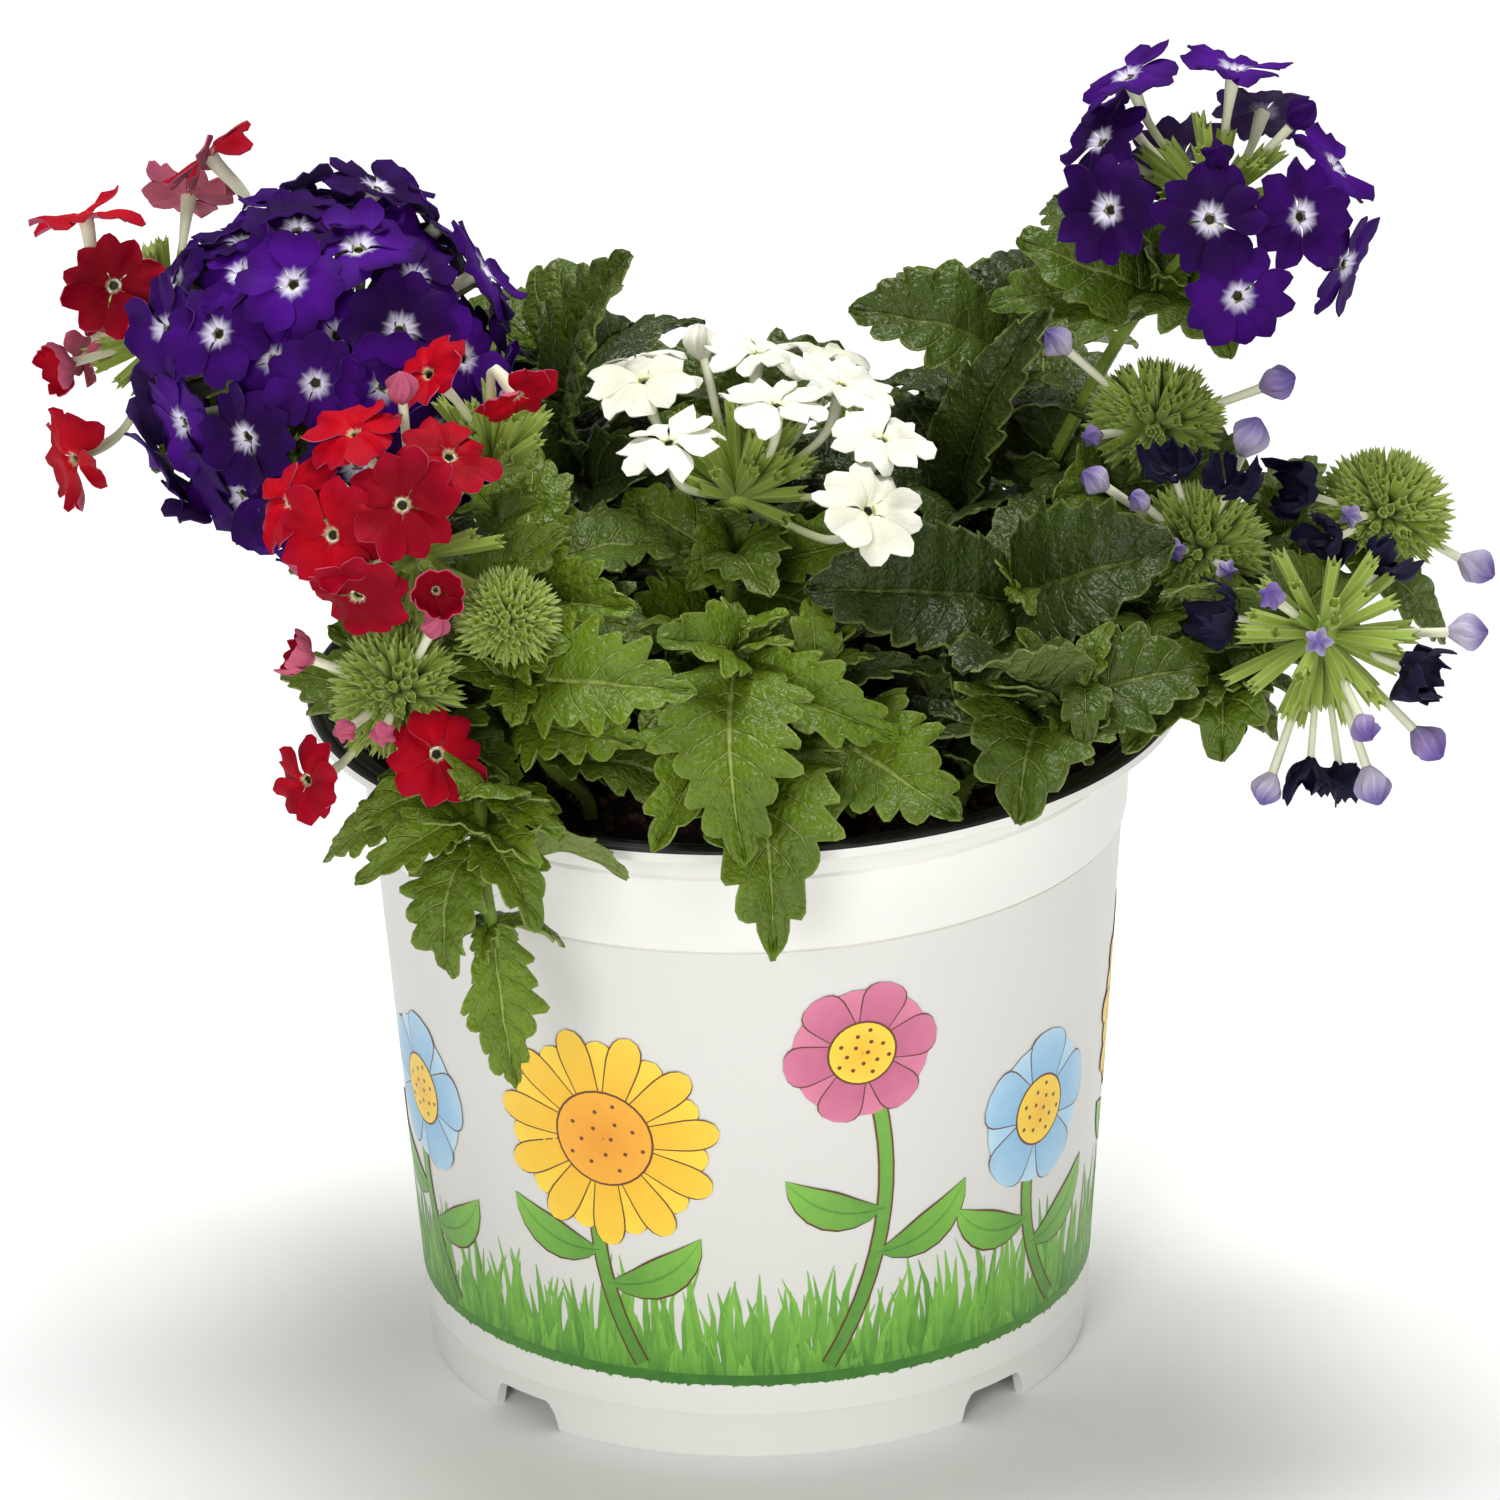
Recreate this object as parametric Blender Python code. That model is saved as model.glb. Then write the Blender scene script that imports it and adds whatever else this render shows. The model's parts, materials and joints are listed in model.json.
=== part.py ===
"""Verbena in a nursery pot: purple, red and white plants with their trailing leafy stems and
flower heads, the compost they stand in and a two-layer plastic pot.

The plan below is in millimetres and becomes metres where a mesh is made. +Z is up, the pot
stands on z = 0 round the world's Z axis, and the side seen in the photograph faces -Y.
"""

import math
import random
from collections import namedtuple

import bmesh
import bpy
from mathutils import Quaternion, Vector
from mathutils.kdtree import KDTree

MM = 0.001
UP = Vector((0, 0, 1))

# Pot: a 19 cm container, its wall, rim and foot given as one turned outline.
POT_SIDES = 30
RIM_RADIUS = 95.0
POT_HEIGHT = 152.0
SHOULDER_RADIUS, SHOULDER_Z = 84.0, 143.0
WALL_RADIUS, WALL_Z = 73.2, 12.0
WALL = 1.5
FLOOR_LOW, FLOOR_TOP = 7.5, 9.3
FOOT_RADIUS, FOOT_WALL = 72.2, 2.4
CENTRE_FOOT_RADIUS = 8.0
SKIRT_GAPS, SKIRT_GAP_WIDTH, SKIRT_GAP_HEIGHT = 4, 20.0, 6.8
SKIRT_NOTCHES, NOTCH_WIDTH, NOTCH_HEIGHT = 4, 12.0, 3.6
DRAIN_HOLES, DRAIN_RADIUS, DRAIN_CIRCLE = 8, 4.5, 52.0

# Compost: it fills the pot to a little under the rim, with a low relief on top.
GAP = 0.35
SOIL_TOP = 142.5
SOIL_RELIEF = 1.6
SOIL_RINGS = (56.0, 26.0)
ROOT_Z = 127.0
STEM_HOLE = 2.9

# Leafy stems: square in section, thinner towards the tip.
STEM_STEP = 24.0
STEM_ROOT_RADIUS, STEM_TIP_RADIUS = 1.9, 1.25
LEAF_THICKNESS = 0.8
SMALL_LEAF, BROAD_LEAF = 17.5, 25.5
FIRST_TOOTH, LAST_TOOTH = 0.28, 0.88
TOOTH_REACH, NOTCH_REACH, NOTCH_SHARE = 1.12, 0.80, 0.22

# Flower heads.
PETAL_THICKNESS = 0.75
PETAL_OUTLINE = ((-36, 0.58), (-22, 1.0), (22, 1.0))
PETAL_DROOP = 0.10
CALYX_RADIUS = 1.4
TUBE_RADII = (0.7, CALYX_RADIUS, 0.9)
TUBE_BEND = 0.35
EYE_DEPTH = 0.8

# Room kept between the pieces of two nodes, and the spacing of the points that test it.
CLEARANCE = 2.3
SAMPLE = 2.6

Leaf = namedtuple("Leaf", "along tip width arch roll")
Pair = namedtuple("Pair", "along length width")
Stem = namedtuple("Stem", "points leaves pairs")
Floret = namedtuple("Floret", "eye facing size")
Head = namedtuple("Head", "at axis core florets buds spent needles")
Needles = namedtuple("Needles", "count length nearest furthest")
FACETS, FACET_COUNT = None, 50


def leaf(along, tip, width, arch=4.0, roll=0.0):
    return Leaf(along, tip, width, arch, roll)


# Each stem: its points from the compost up, the leaves seen in the photograph (how far along
# the stem, tip, width, arch, roll) and the pairs that follow the opposite-leaf rule.
STEMS = {
    "stem_white": Stem(
        ((-4, -30, 146), (-3, -31, 160), (-3, -32, 176), (-2, -35, 192), (-1, -35, 202)),
        (
            leaf(0.82, (-25, -24, 206), 15, 3, -40),
            leaf(0.82, (30, -47, 204), 14, 3, 50),
            leaf(0.80, (-12, -62, 198), 14, 6, -40),
            leaf(0.56, (-30, -62, 194), 18, 5, -55),
        ),
        (Pair(0.52, 34, 17),),
    ),
    "stem_purple_left": Stem(
        ((-34, 18, 146), (-42, 24, 158), (-58, 28, 182), (-74, 22, 202), (-80, 17, 212)),
        (leaf(0.66, (-98, 8, 176), 22, 6, -35), leaf(0.84, (-52, 50, 214), 18, 5, 25)),
        (Pair(0.45, 40, 24),),
    ),
    "stem_red_far_left": Stem(
        ((-46, 36, 146), (-64, 46, 158), (-92, 56, 184), (-112, 54, 202), (-120, 51, 211)),
        (leaf(0.9, (-130, 24, 206), 12, 3, -40), leaf(0.9, (-118, 80, 214), 12, 3)),
        (Pair(0.4, 42, 22), Pair(0.66, 34, 17)),
    ),
    "stem_red_front": Stem(
        ((-42, -36, 146), (-48, -46, 160), (-58, -58, 184), (-65, -66, 202)),
        (leaf(0.86, (-36, -66, 214), 14, 4, 50), leaf(0.6, (-88, -44, 184), 18, 5, -45)),
        (Pair(0.45, 32, 17),),
    ),
    "stem_red_upper": Stem(
        ((-30, -32, 146), (-38, -40, 162), (-47, -48, 190), (-52, -48, 215)),
        (
            leaf(0.74, (-22, -78, 200), 19, 6, 50),
            leaf(0.74, (-27, -62, 208), 17, 5, 60),
            leaf(0.92, (-41, -62, 216), 9, 3, 60),
            leaf(0.78, (-44, -18, 214), 16, 4),
        ),
        (Pair(0.42, 30, 15),),
    ),
    "stem_red_low": Stem(
        ((-52, -52, 146), (-60, -64, 158), (-68, -78, 172), (-72, -86, 181)),
        (leaf(0.7, (-98, -50, 176), 16, 5, -35),),
        (Pair(0.55, 26, 13),),
    ),
    "stem_green_bud_left": Stem(
        ((-34, -52, 146), (-42, -64, 160), (-49, -80, 182), (-49, -88, 196)),
        (
            leaf(0.84, (-10, -100, 190), 21, 5, 45),
            leaf(0.66, (-21, -97, 177), 16, 4, 45),
            leaf(0.92, (-35, -88, 198), 11, 3, 45),
        ),
        (),
    ),
    "stem_trailing_left": Stem(
        (
            (-44, -60, 146),
            (-49, -70, 156),
            (-54, -84, 166),
            (-56, -98, 162),
            (-55, -104, 148),
            (-53, -105, 136),
        ),
        (
            leaf(0.93, (-50, -106, 104), 15, 2, 35),
            leaf(0.72, (-62, -112, 132), 17, 5, 10),
            leaf(0.7, (-44, -116, 144), 13, 5),
            leaf(0.56, (-82, -92, 158), 15, 5, -40),
            leaf(0.58, (-90, -86, 146), 10, 8, -45),
            leaf(0.62, (-77, -102, 142), 10, 7, -35),
        ),
        (),
    ),
    "stem_front_centre": Stem(
        ((0, -52, 146), (-1, -58, 160), (-1, -68, 178), (-2, -76, 189)),
        (
            leaf(0.92, (-1, -108, 154), 25, 11),
            leaf(0.6, (5, -112, 138), 27, 15),
            leaf(0.97, (-19, -92, 196), 14, 4, -50),
            leaf(0.9, (33, -88, 183), 15, 6, 45),
            leaf(0.66, (-20, -104, 156), 22, 12, -20),
            leaf(0.99, (7, -97, 197), 12, 4, 40),
        ),
        (Pair(0.5, 26, 15),),
    ),
    "stem_front_right": Stem(
        ((20, -50, 146), (17, -58, 160), (16, -66, 174), (16, -70, 182)),
        (
            leaf(0.74, (21, -104, 158), 24, 6, 5),
            leaf(0.6, (45, -96, 163), 24, 6, 35),
            leaf(0.9, (-4, -60, 178), 15, 3, -40),
        ),
        (),
    ),
    "stem_right_mid": Stem(
        ((36, -34, 146), (45, -38, 162), (54, -43, 180), (59, -46, 192)),
        (
            leaf(0.95, (94, -64, 194), 28, 5, 55),
            leaf(0.9, (12, -62, 192), 24, 4, -55),
            leaf(0.72, (26, -84, 180), 26, 6, -45),
            leaf(0.95, (66, -24, 204), 18, 5),
        ),
        (Pair(0.42, 34, 20),),
    ),
    "stem_right_low": Stem(
        ((46, -50, 146), (55, -64, 160), (66, -80, 174), (71, -88, 186)),
        (
            leaf(0.68, (56, -112, 164), 27, 10, -10),
            leaf(0.72, (90, -106, 163), 27, 9, 35),
            leaf(0.80, (98, -80, 180), 20, 6, 40),
            leaf(0.97, (70, -101, 176), 9, 4),
            leaf(0.97, (63, -90, 195), 7, 2),
            leaf(0.9, (76, -72, 190), 10, 3),
        ),
        (),
    ),
    "stem_spent_right": Stem(
        ((54, -36, 146), (70, -44, 158), (92, -54, 170), (110, -62, 178), (118, -67, 184)),
        (
            leaf(0.7, (100, -78, 163), 17, 6),
            leaf(0.72, (90, -88, 180), 15, 5, -35),
            leaf(0.62, (112, -44, 158), 19, 6, 45),
            leaf(0.84, (104, -40, 186), 13, 4),
        ),
        (Pair(0.42, 36, 21),),
    ),
    "stem_arch_left": Stem(
        ((-14, -4, 146), (-20, -6, 160), (-28, -6, 184), (-36, 0, 208), (-38, 4, 216)),
        (
            leaf(0.9, (-9, -8, 246), 25, 5, 50),
            leaf(0.9, (-48, 26, 238), 22, 5, -15),
            leaf(0.66, (-18, -30, 209), 20, 6, 60),
            leaf(0.74, (-52, -22, 208), 18, 5, -45),
            leaf(0.95, (-24, 26, 232), 20, 5, 20),
        ),
        (Pair(0.42, 38, 22),),
    ),
    "stem_arch_right": Stem(
        ((30, 6, 146), (35, 2, 160), (46, -4, 186), (53, 2, 212), (57, 8, 226)),
        (
            leaf(0.97, (24, 2, 236), 21, 6, -40),
            leaf(0.62, (70, -12, 243), 15, 6, 80),
            leaf(0.62, (32, 24, 206), 25, 6, -20),
            leaf(0.8, (72, 26, 204), 24, 6, 45),
            leaf(0.96, (64, 34, 236), 17, 5),
        ),
        (Pair(0.4, 38, 22),),
    ),
    "stem_purple_right": Stem(
        ((44, 12, 146), (54, 14, 164), (68, 12, 198), (82, 8, 226), (94, 4, 244), (100, 2, 252)),
        (
            leaf(0.8, (60, 0, 252), 20, 5, -45),
            leaf(0.78, (59, -14, 238), 16, 5, -40),
            leaf(0.8, (98, -24, 232), 21, 5, 15),
            leaf(0.82, (70, 36, 252), 18, 5, -25),
            leaf(0.8, (108, 30, 236), 19, 5, 35),
        ),
        (Pair(0.5, 44, 24),),
    ),
    "stem_bud_right_upper": Stem(
        ((52, -8, 146), (60, -10, 160), (74, -12, 188), (85, -10, 202)),
        (leaf(0.86, (66, -38, 206), 17, 4, -50), leaf(0.84, (110, 12, 200), 18, 4, 40)),
        (Pair(0.5, 38, 21),),
    ),
    "stem_bud_right_mid": Stem(
        ((50, -22, 146), (62, -28, 158), (82, -36, 174), (93, -38, 185)),
        (leaf(0.66, (74, -62, 168), 19, 5),),
        (Pair(0.8, 28, 15),),
    ),
    "stem_bud_right_outer": Stem(
        ((60, 4, 146), (76, 6, 158), (104, 2, 170), (126, -3, 180), (134, -5, 184)),
        (leaf(0.86, (152, 8, 154), 13, 4, 50), leaf(0.72, (124, 28, 190), 16, 5)),
        (Pair(0.5, 38, 21),),
    ),
    "stem_back_left": Stem(
        ((-22, 42, 146), (-30, 58, 162), (-40, 76, 182), (-44, 86, 200)),
        (leaf(0.97, (-26, 90, 210), 19, 5), leaf(0.97, (-66, 104, 204), 19, 5)),
        (Pair(0.55, 44, 25),),
    ),
    "stem_back_centre": Stem(
        ((2, 24, 146), (2, 34, 160), (0, 44, 178), (-2, 48, 192)),
        (leaf(0.97, (24, 60, 204), 21, 5, 25), leaf(0.97, (-30, 62, 204), 21, 5, -25)),
        (Pair(0.38, 44, 25), Pair(0.74, 40, 22)),
    ),
    "stem_back_right": Stem(
        ((26, 42, 146), (36, 56, 160), (50, 72, 178), (56, 82, 194)),
        (leaf(0.97, (36, 104, 206), 19, 5), leaf(0.97, (88, 92, 200), 19, 5)),
        (Pair(0.55, 44, 25),),
    ),
}

PURPLE, RED, WHITE, GREEN, BUDS = "#2C0B6E", "#B4081C", "#F3F1E4", "#6E9A32", "#9B86C6"

# Each head: receptacle, axis, core radius, open florets (eye, facing, radius), buds and
# withered florets (place, radius) and the green calyces that radiate from the core.
HEADS = {
    "bloom_purple_left": Head(
        (-87, -6, 228), (-0.25, -0.80, 0.55), 14, "dome", (), (), Needles(0, 0, 0, 0)
    ),
    "bloom_red_far_left": Head(
        (-124, 50, 216),
        (-0.6, -0.2, 0.77),
        4,
        (
            Floret((-141, 40, 248), (-0.15, 0.30, 0.94), 13.5),
            Floret((-114, 44, 260), (-0.65, 0.20, 0.74), 13),
            Floret((-135, 30, 235), (-0.1, -0.95, 0.3), 12),
            Floret((-146, 38, 192), (-0.75, -0.6, -0.1), 12.5),
            Floret((-143, 60, 212), (-0.9, 0.1, 0.1), 11),
            Floret((-120, 74, 240), (0.1, 0.8, 0.6), 12),
        ),
        (((-148, 34, 215), 4.5), ((-139, 44, 214), 3.5)),
        (),
        Needles(9, 17, 0, 75),
    ),
    "bloom_red_front": Head(
        (-68, -70, 210),
        (-0.25, -0.70, 0.67),
        5,
        (
            Floret((-70, -94, 231), (0.05, -0.86, 0.5), 13),
            Floret((-85, -95, 225), (-0.4, -0.85, 0.35), 12.5),
            Floret((-94, -82, 228), (-0.6, -0.5, 0.6), 12),
            Floret((-60, -84, 238), (0.3, -0.5, 0.8), 12),
            Floret((-80, -98, 212), (-0.35, -0.85, -0.35), 12),
            Floret((-80, -80, 242), (-0.4, -0.3, 0.87), 11.5),
        ),
        (((-70, -76, 250), 3.5), ((-63, -104, 215), 4), ((-92, -70, 210), 3.5)),
        (),
        Needles(7, 16, 20, 95),
    ),
    "bloom_red_upper": Head(
        (-52, -48, 221),
        (0.0, -0.2, 0.98),
        3.5,
        (
            Floret((-46, -62, 242), (0.45, -0.5, -0.45), 10),
            Floret((-65, -62, 248), (-0.5, -0.5, 0.7), 10.5),
        ),
        (),
        (),
        Needles(9, 14, 0, 62),
    ),
    "bloom_red_low": Head(
        (-72, -88, 187),
        (-0.35, -0.65, 0.6),
        6,
        (
            Floret((-64, -106, 180), (0.25, -0.85, 0.4), 11.5),
            Floret((-92, -100, 172), (-0.6, -0.75, 0.1), 10),
        ),
        (
            ((-93, -89, 196), 4.2),
            ((-83, -107, 186), 2.6),
            ((-75, -109, 186), 2.8),
            ((-64, -99, 206), 3.2),
        ),
        (),
        Needles(FACETS, 9, 0, 105),
    ),
    "bloom_green_bud_left": Head(
        (-49, -90, 203), (0.0, -0.5, 0.86), 4, (), (), (), Needles(FACETS, 7, 0, 100)
    ),
    "bloom_white": Head(
        (-1, -35, 208),
        (0.0, -0.1, 1.0),
        4,
        (
            Floret((-20, -28, 233), (-0.18, -0.10, 0.98), 13),
            Floret((-15, -54, 229), (-0.12, -0.22, 0.97), 12.5),
            Floret((8, -44, 233), (0.05, -0.15, 0.98), 12.5),
            Floret((4, -18, 235), (0.06, 0.05, 0.99), 13),
            Floret((22, -28, 231), (0.25, -0.05, 0.97), 12.5),
            Floret((30, -48, 226), (0.32, -0.20, 0.93), 11.5),
            Floret((27, -66, 217), (0.42, -0.55, 0.72), 13.5),
            Floret((-22, -8, 230), (-0.25, 0.25, 0.94), 11.5),
            Floret((18, -4, 230), (0.20, 0.30, 0.93), 12),
        ),
        (((-8, -10, 234), 4),),
        (),
        Needles(11, 17, 8, 62),
    ),
    "bloom_purple_right": Head(
        (102, 0, 259),
        (0.1, -0.35, 0.93),
        5,
        (
            Floret((79, -18, 265), (-0.5, -0.80, 0.35), 13),
            Floret((100, -28, 266), (-0.05, -0.92, 0.38), 13.5),
            Floret((106, -27, 248), (0.1, -0.92, 0.1), 12.5),
            Floret((120, -19, 263), (0.5, -0.8, 0.35), 12.5),
            Floret((130, -9, 248), (0.78, -0.6, -0.1), 12.5),
            Floret((78, -5, 276), (-0.65, -0.35, 0.67), 12),
            Floret((84, 5, 287), (-0.35, -0.1, 0.93), 12.5),
            Floret((81, 20, 276), (-0.6, 0.4, 0.7), 12),
            Floret((107, 9, 287), (0.15, 0.1, 0.98), 12.5),
            Floret((128, 4, 266), (0.75, -0.05, 0.66), 12),
            Floret((114, 24, 272), (0.3, 0.75, 0.6), 12),
            Floret((96, 28, 260), (-0.15, 0.95, 0.25), 12.5),
        ),
        (((121, 3, 278), 3.6), ((102, -19, 277), 3.6), ((124, 20, 254), 3.4)),
        (),
        Needles(7, 14, 0, 70),
    ),
    "bloom_bud_right_upper": Head(
        (89, -8, 212),
        (-0.05, -0.30, 0.95),
        5.5,
        (),
        (((68, -14, 234), 3.6), ((115, -12, 223), 3.8), ((75, -24, 216), 2.4)),
        (),
        Needles(FACETS, 10, 0, 100),
    ),
    "bloom_bud_right_mid": Head(
        (97, -38, 195),
        (0.05, -0.45, 0.88),
        5.5,
        (),
        (
            ((75, -42, 213), 3.2),
            ((84, -47, 210), 2.6),
            ((74, -50, 204), 4),
            ((91, -58, 203), 2.6),
            ((102, -57, 198), 2.4),
            ((108, -34, 219), 4.2),
        ),
        (((91, -42, 216), 5), ((104, -44, 213), 5)),
        Needles(FACETS, 10, 0, 100),
    ),
    "bloom_bud_right_outer": Head(
        (138, -5, 189),
        (0.2, -0.25, 0.94),
        5.5,
        (),
        (((130, -25, 197), 2.6), ((158, -8, 178), 4)),
        (((119, -18, 200), 6), ((125, -27, 192), 5.5)),
        Needles(FACETS, 10, 0, 100),
    ),
    "bloom_spent_right": Head(
        (121, -72, 189),
        (0.15, -0.80, -0.1),
        4.5,
        (),
        (
            ((109, -86, 160), 3.4),
            ((129, -95, 177), 3.2),
            ((131, -88, 161), 4),
            ((143, -80, 167), 4),
            ((152, -70, 188), 4),
            ((110, -88, 204), 3),
            ((119, -101, 199), 3),
        ),
        (
            ((118, -84, 162), 5),
            ((125, -76, 158), 5),
            ((141, -78, 182), 6),
            ((100, -75, 195), 5.5),
            ((135, -63, 201), 5),
        ),
        Needles(13, 17, 20, 110),
    ),
}

HEAD_COLOURS = {
    "bloom_purple_left": PURPLE,
    "bloom_red_far_left": RED,
    "bloom_red_front": RED,
    "bloom_red_upper": RED,
    "bloom_red_low": RED,
    "bloom_green_bud_left": GREEN,
    "bloom_white": WHITE,
    "bloom_purple_right": PURPLE,
    "bloom_bud_right_upper": GREEN,
    "bloom_bud_right_mid": GREEN,
    "bloom_bud_right_outer": GREEN,
    "bloom_spent_right": BUDS,
}

DOME_FLORETS = 18
DOME_RADIUS, DOME_LAYER, DOME_FLORET = 38.0, 2.4, 16.4
DOME_EDGE = math.radians(102)
GOLDEN_TURN = math.pi * (3 - math.sqrt(5))


def linear(hex_colour):
    """The linear RGBA of an sRGB hex colour."""
    channels = (int(hex_colour[i : i + 2], 16) / 255 for i in (1, 3, 5))
    return [c / 12.92 if c <= 0.04045 else ((c + 0.055) / 1.055) ** 2.4 for c in channels] + [1]


def material(name, hex_colour, roughness):
    made = bpy.data.materials.new(name)
    made.use_nodes = True
    shader = made.node_tree.nodes["Principled BSDF"]
    shader.inputs["Base Color"].default_value = linear(hex_colour)
    shader.inputs["Roughness"].default_value = roughness
    return made


def mesh_object(name, shape):
    """A scene object from (points in mm, faces), its faces turned outwards."""
    points, faces = shape
    mesh = bpy.data.meshes.new(name)
    mesh.from_pydata([tuple(Vector(p) * MM) for p in points], [], faces)
    made = bmesh.new()
    made.from_mesh(mesh)
    bmesh.ops.recalc_face_normals(made, faces=made.faces)
    made.to_mesh(mesh)
    made.free()
    obj = bpy.data.objects.new(name, mesh)
    bpy.context.scene.collection.objects.link(obj)
    return obj


def largest_body(mesh):
    """Keeps the mesh's largest closed body, without loose scraps and sealed hollows."""
    made = bmesh.new()
    made.from_mesh(mesh)
    bmesh.ops.triangulate(made, faces=made.faces)
    left, bodies = set(made.faces), []
    while left:
        body, edge = [], [left.pop()]
        while edge:
            face = edge.pop()
            body.append(face)
            near = {f for e in face.edges for f in e.link_faces} & left
            left -= near
            edge.extend(near)
        bodies.append(body)
    bodies.sort(key=volume, reverse=True)
    scraps = [face for body in bodies[1:] for face in body]
    bmesh.ops.delete(made, geom=scraps, context="FACES")
    made.to_mesh(mesh)
    made.free()


def volume(faces):
    """The signed volume inside a closed set of triangles."""
    corners = ([v.co for v in face.verts] for face in faces)
    return sum(a.dot(b.cross(c)) for a, b, c in corners) / 6


def boolean(obj, others, operation, solver):
    """Applies one Boolean of obj with a collection of the others, which are then removed."""
    collection = bpy.data.collections.new("operands")
    for other in others:
        collection.objects.link(other)
    cut = obj.modifiers.new("cut", "BOOLEAN")
    cut.operation = operation
    cut.operand_type = "COLLECTION"
    cut.collection = collection
    cut.solver = solver
    graph = bpy.context.evaluated_depsgraph_get()
    mesh = bpy.data.meshes.new_from_object(obj.evaluated_get(graph))
    obj.modifiers.remove(cut)
    obj.data = mesh
    bpy.data.collections.remove(collection)
    for other in others:
        bpy.data.objects.remove(other)


def fused(name, shapes, look, smooth_angle=40):
    """One node from overlapping closed shapes."""
    pieces = [mesh_object(f"{name}_{i}", shape) for i, shape in enumerate(shapes)]
    whole = pieces[0]
    whole.name = name
    if pieces[1:]:
        boolean(whole, pieces[1:], "UNION", "MANIFOLD")
    whole.data.name = name
    largest_body(whole.data)
    finish(whole, look, smooth_angle)
    return whole


def finish(obj, look, smooth_angle):
    obj.data.materials.clear()
    obj.data.materials.append(look)
    obj.data.shade_smooth()
    obj.data.set_sharp_from_angle(angle=math.radians(smooth_angle))


# Curves and frames shared by stems, leaves and flowers.


def spline(points, step):
    """Catmull-Rom points through the given ones, about a step apart."""
    knots = [Vector(p) for p in points]
    knots = [2 * knots[0] - knots[1], *knots, 2 * knots[-1] - knots[-2]]
    out = [knots[1]]
    for a, b, c, d in zip(knots, knots[1:], knots[2:], knots[3:]):
        pieces = max(1, round((c - b).length / step))
        for i in range(1, pieces + 1):
            t = i / pieces
            out.append(
                0.5
                * (
                    2 * b
                    + (c - a) * t
                    + (2 * a - 5 * b + 4 * c - d) * t**2
                    + (3 * b - 3 * c + d - a) * t**3
                )
            )
    return out


def sideways(direction):
    """A unit vector square to the direction, level where it can be."""
    side = direction.cross(UP)
    return side.normalized() if side.length > 0.05 else direction.cross(Vector((0, 1, 0))).normalized()


def tube(path, radii, sides, side=None):
    """A closed tube along a path, its section turned as little as possible."""
    points, faces = [], []
    side = side or sideways(path[1] - path[0])
    for i, (place, radius) in enumerate(zip(path, radii)):
        ahead = (path[min(i + 1, len(path) - 1)] - path[max(i - 1, 0)]).normalized()
        side = (side - ahead * side.dot(ahead)).normalized()
        other = ahead.cross(side)
        for k in range(sides):
            turn = math.tau * (k + 0.5) / sides
            points.append(place + (side * math.cos(turn) + other * math.sin(turn)) * radius)
        if i:
            faces += ring_faces((i - 1) * sides, i * sides, sides)
    faces.append(tuple(range(sides))[::-1])
    faces.append(tuple(range(len(points) - sides, len(points))))
    return points, faces


def ring_faces(low, high, count):
    return [
        (low + k, low + (k + 1) % count, high + (k + 1) % count, high + k) for k in range(count)
    ]


# Leaves.


def blade(base, plan):
    """The surface of a leaf: a function of the way along (0 to 1) and across (-1 to 1) that
    gives a place and the upward normal there."""
    base, chord = Vector(base), Vector(plan.tip) - Vector(base)
    ahead = chord.normalized()
    turn = Quaternion(ahead, math.radians(plan.roll))
    side = turn @ sideways(ahead)
    lift = side.cross(ahead)
    if lift.z < 0 and plan.roll == 0:
        side, lift = -side, -lift

    def middle(t):
        return base + chord * t + lift * (plan.arch * 4 * t * (1 - t))

    def surface(t, s):
        along = (middle(min(t + 0.01, 1)) - middle(max(t - 0.01, 0))).normalized()
        normal = side.cross(along).normalized()
        half = plan.width / 2 * leaf_outline(t)
        rise = half * (0.30 * abs(s) - 0.22 * s * s)
        return middle(t) + side * (s * half) + normal * rise, normal

    return surface


def leaf_outline(t):
    """The half width of a verbena leaf, 1 at its widest, with a wedge-shaped foot."""
    return 0.10 * (1 - t) + math.sin(math.pi * t**0.82) ** 0.9 if 0 < t < 1 else 0.10 * (1 - t)


def leaf_solid(base, plan):
    """A toothed leaf as one thin closed blade, split alike on both faces."""
    surface = blade(base, plan)
    teeth = 2 + (plan.width > SMALL_LEAF) + (plan.width > BROAD_LEAF)
    step = (LAST_TOOTH - FIRST_TOOTH) / (teeth - 1)
    edge = []
    for i in range(teeth):
        edge.append((FIRST_TOOTH + step * i, TOOTH_REACH))
        if i < teeth - 1:
            edge.append((FIRST_TOOTH + step * (i + NOTCH_SHARE), NOTCH_REACH))
    places, triangles, rims = [], [], []

    def add(t, s):
        places.append(surface(t, s))
        return len(places) - 1

    ribs = [(t, add(t, 0)) for t in (0.0, 0.5, 1.0)]
    for s in (-1, 1):
        rim = ribs[:1] + [(t, add(t, s * reach)) for t, reach in edge] + ribs[-1:]
        triangles += strip(ribs, rim)
        rims.append([index for _, index in rim[1:-1]])
    rim = [ribs[0][1], *rims[0], ribs[-1][1], *rims[1][::-1]]
    return thickened(places, triangles, rim, LEAF_THICKNESS)


def strip(ribs, rim):
    """Triangles between a leaf's midrib and one edge: (way along, index) rows that share
    their first and last points."""
    found, i, j = [], 0, 1
    while (i, j) != (len(ribs) - 1, len(rim) - 2):
        if i == len(ribs) - 1 or (j < len(rim) - 2 and rim[j + 1][0] <= ribs[i + 1][0]):
            found.append((ribs[i][1], rim[j][1], rim[j + 1][1]))
            j += 1
        else:
            found.append((ribs[i][1], rim[j][1], ribs[i + 1][1]))
            i += 1
    return found


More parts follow.
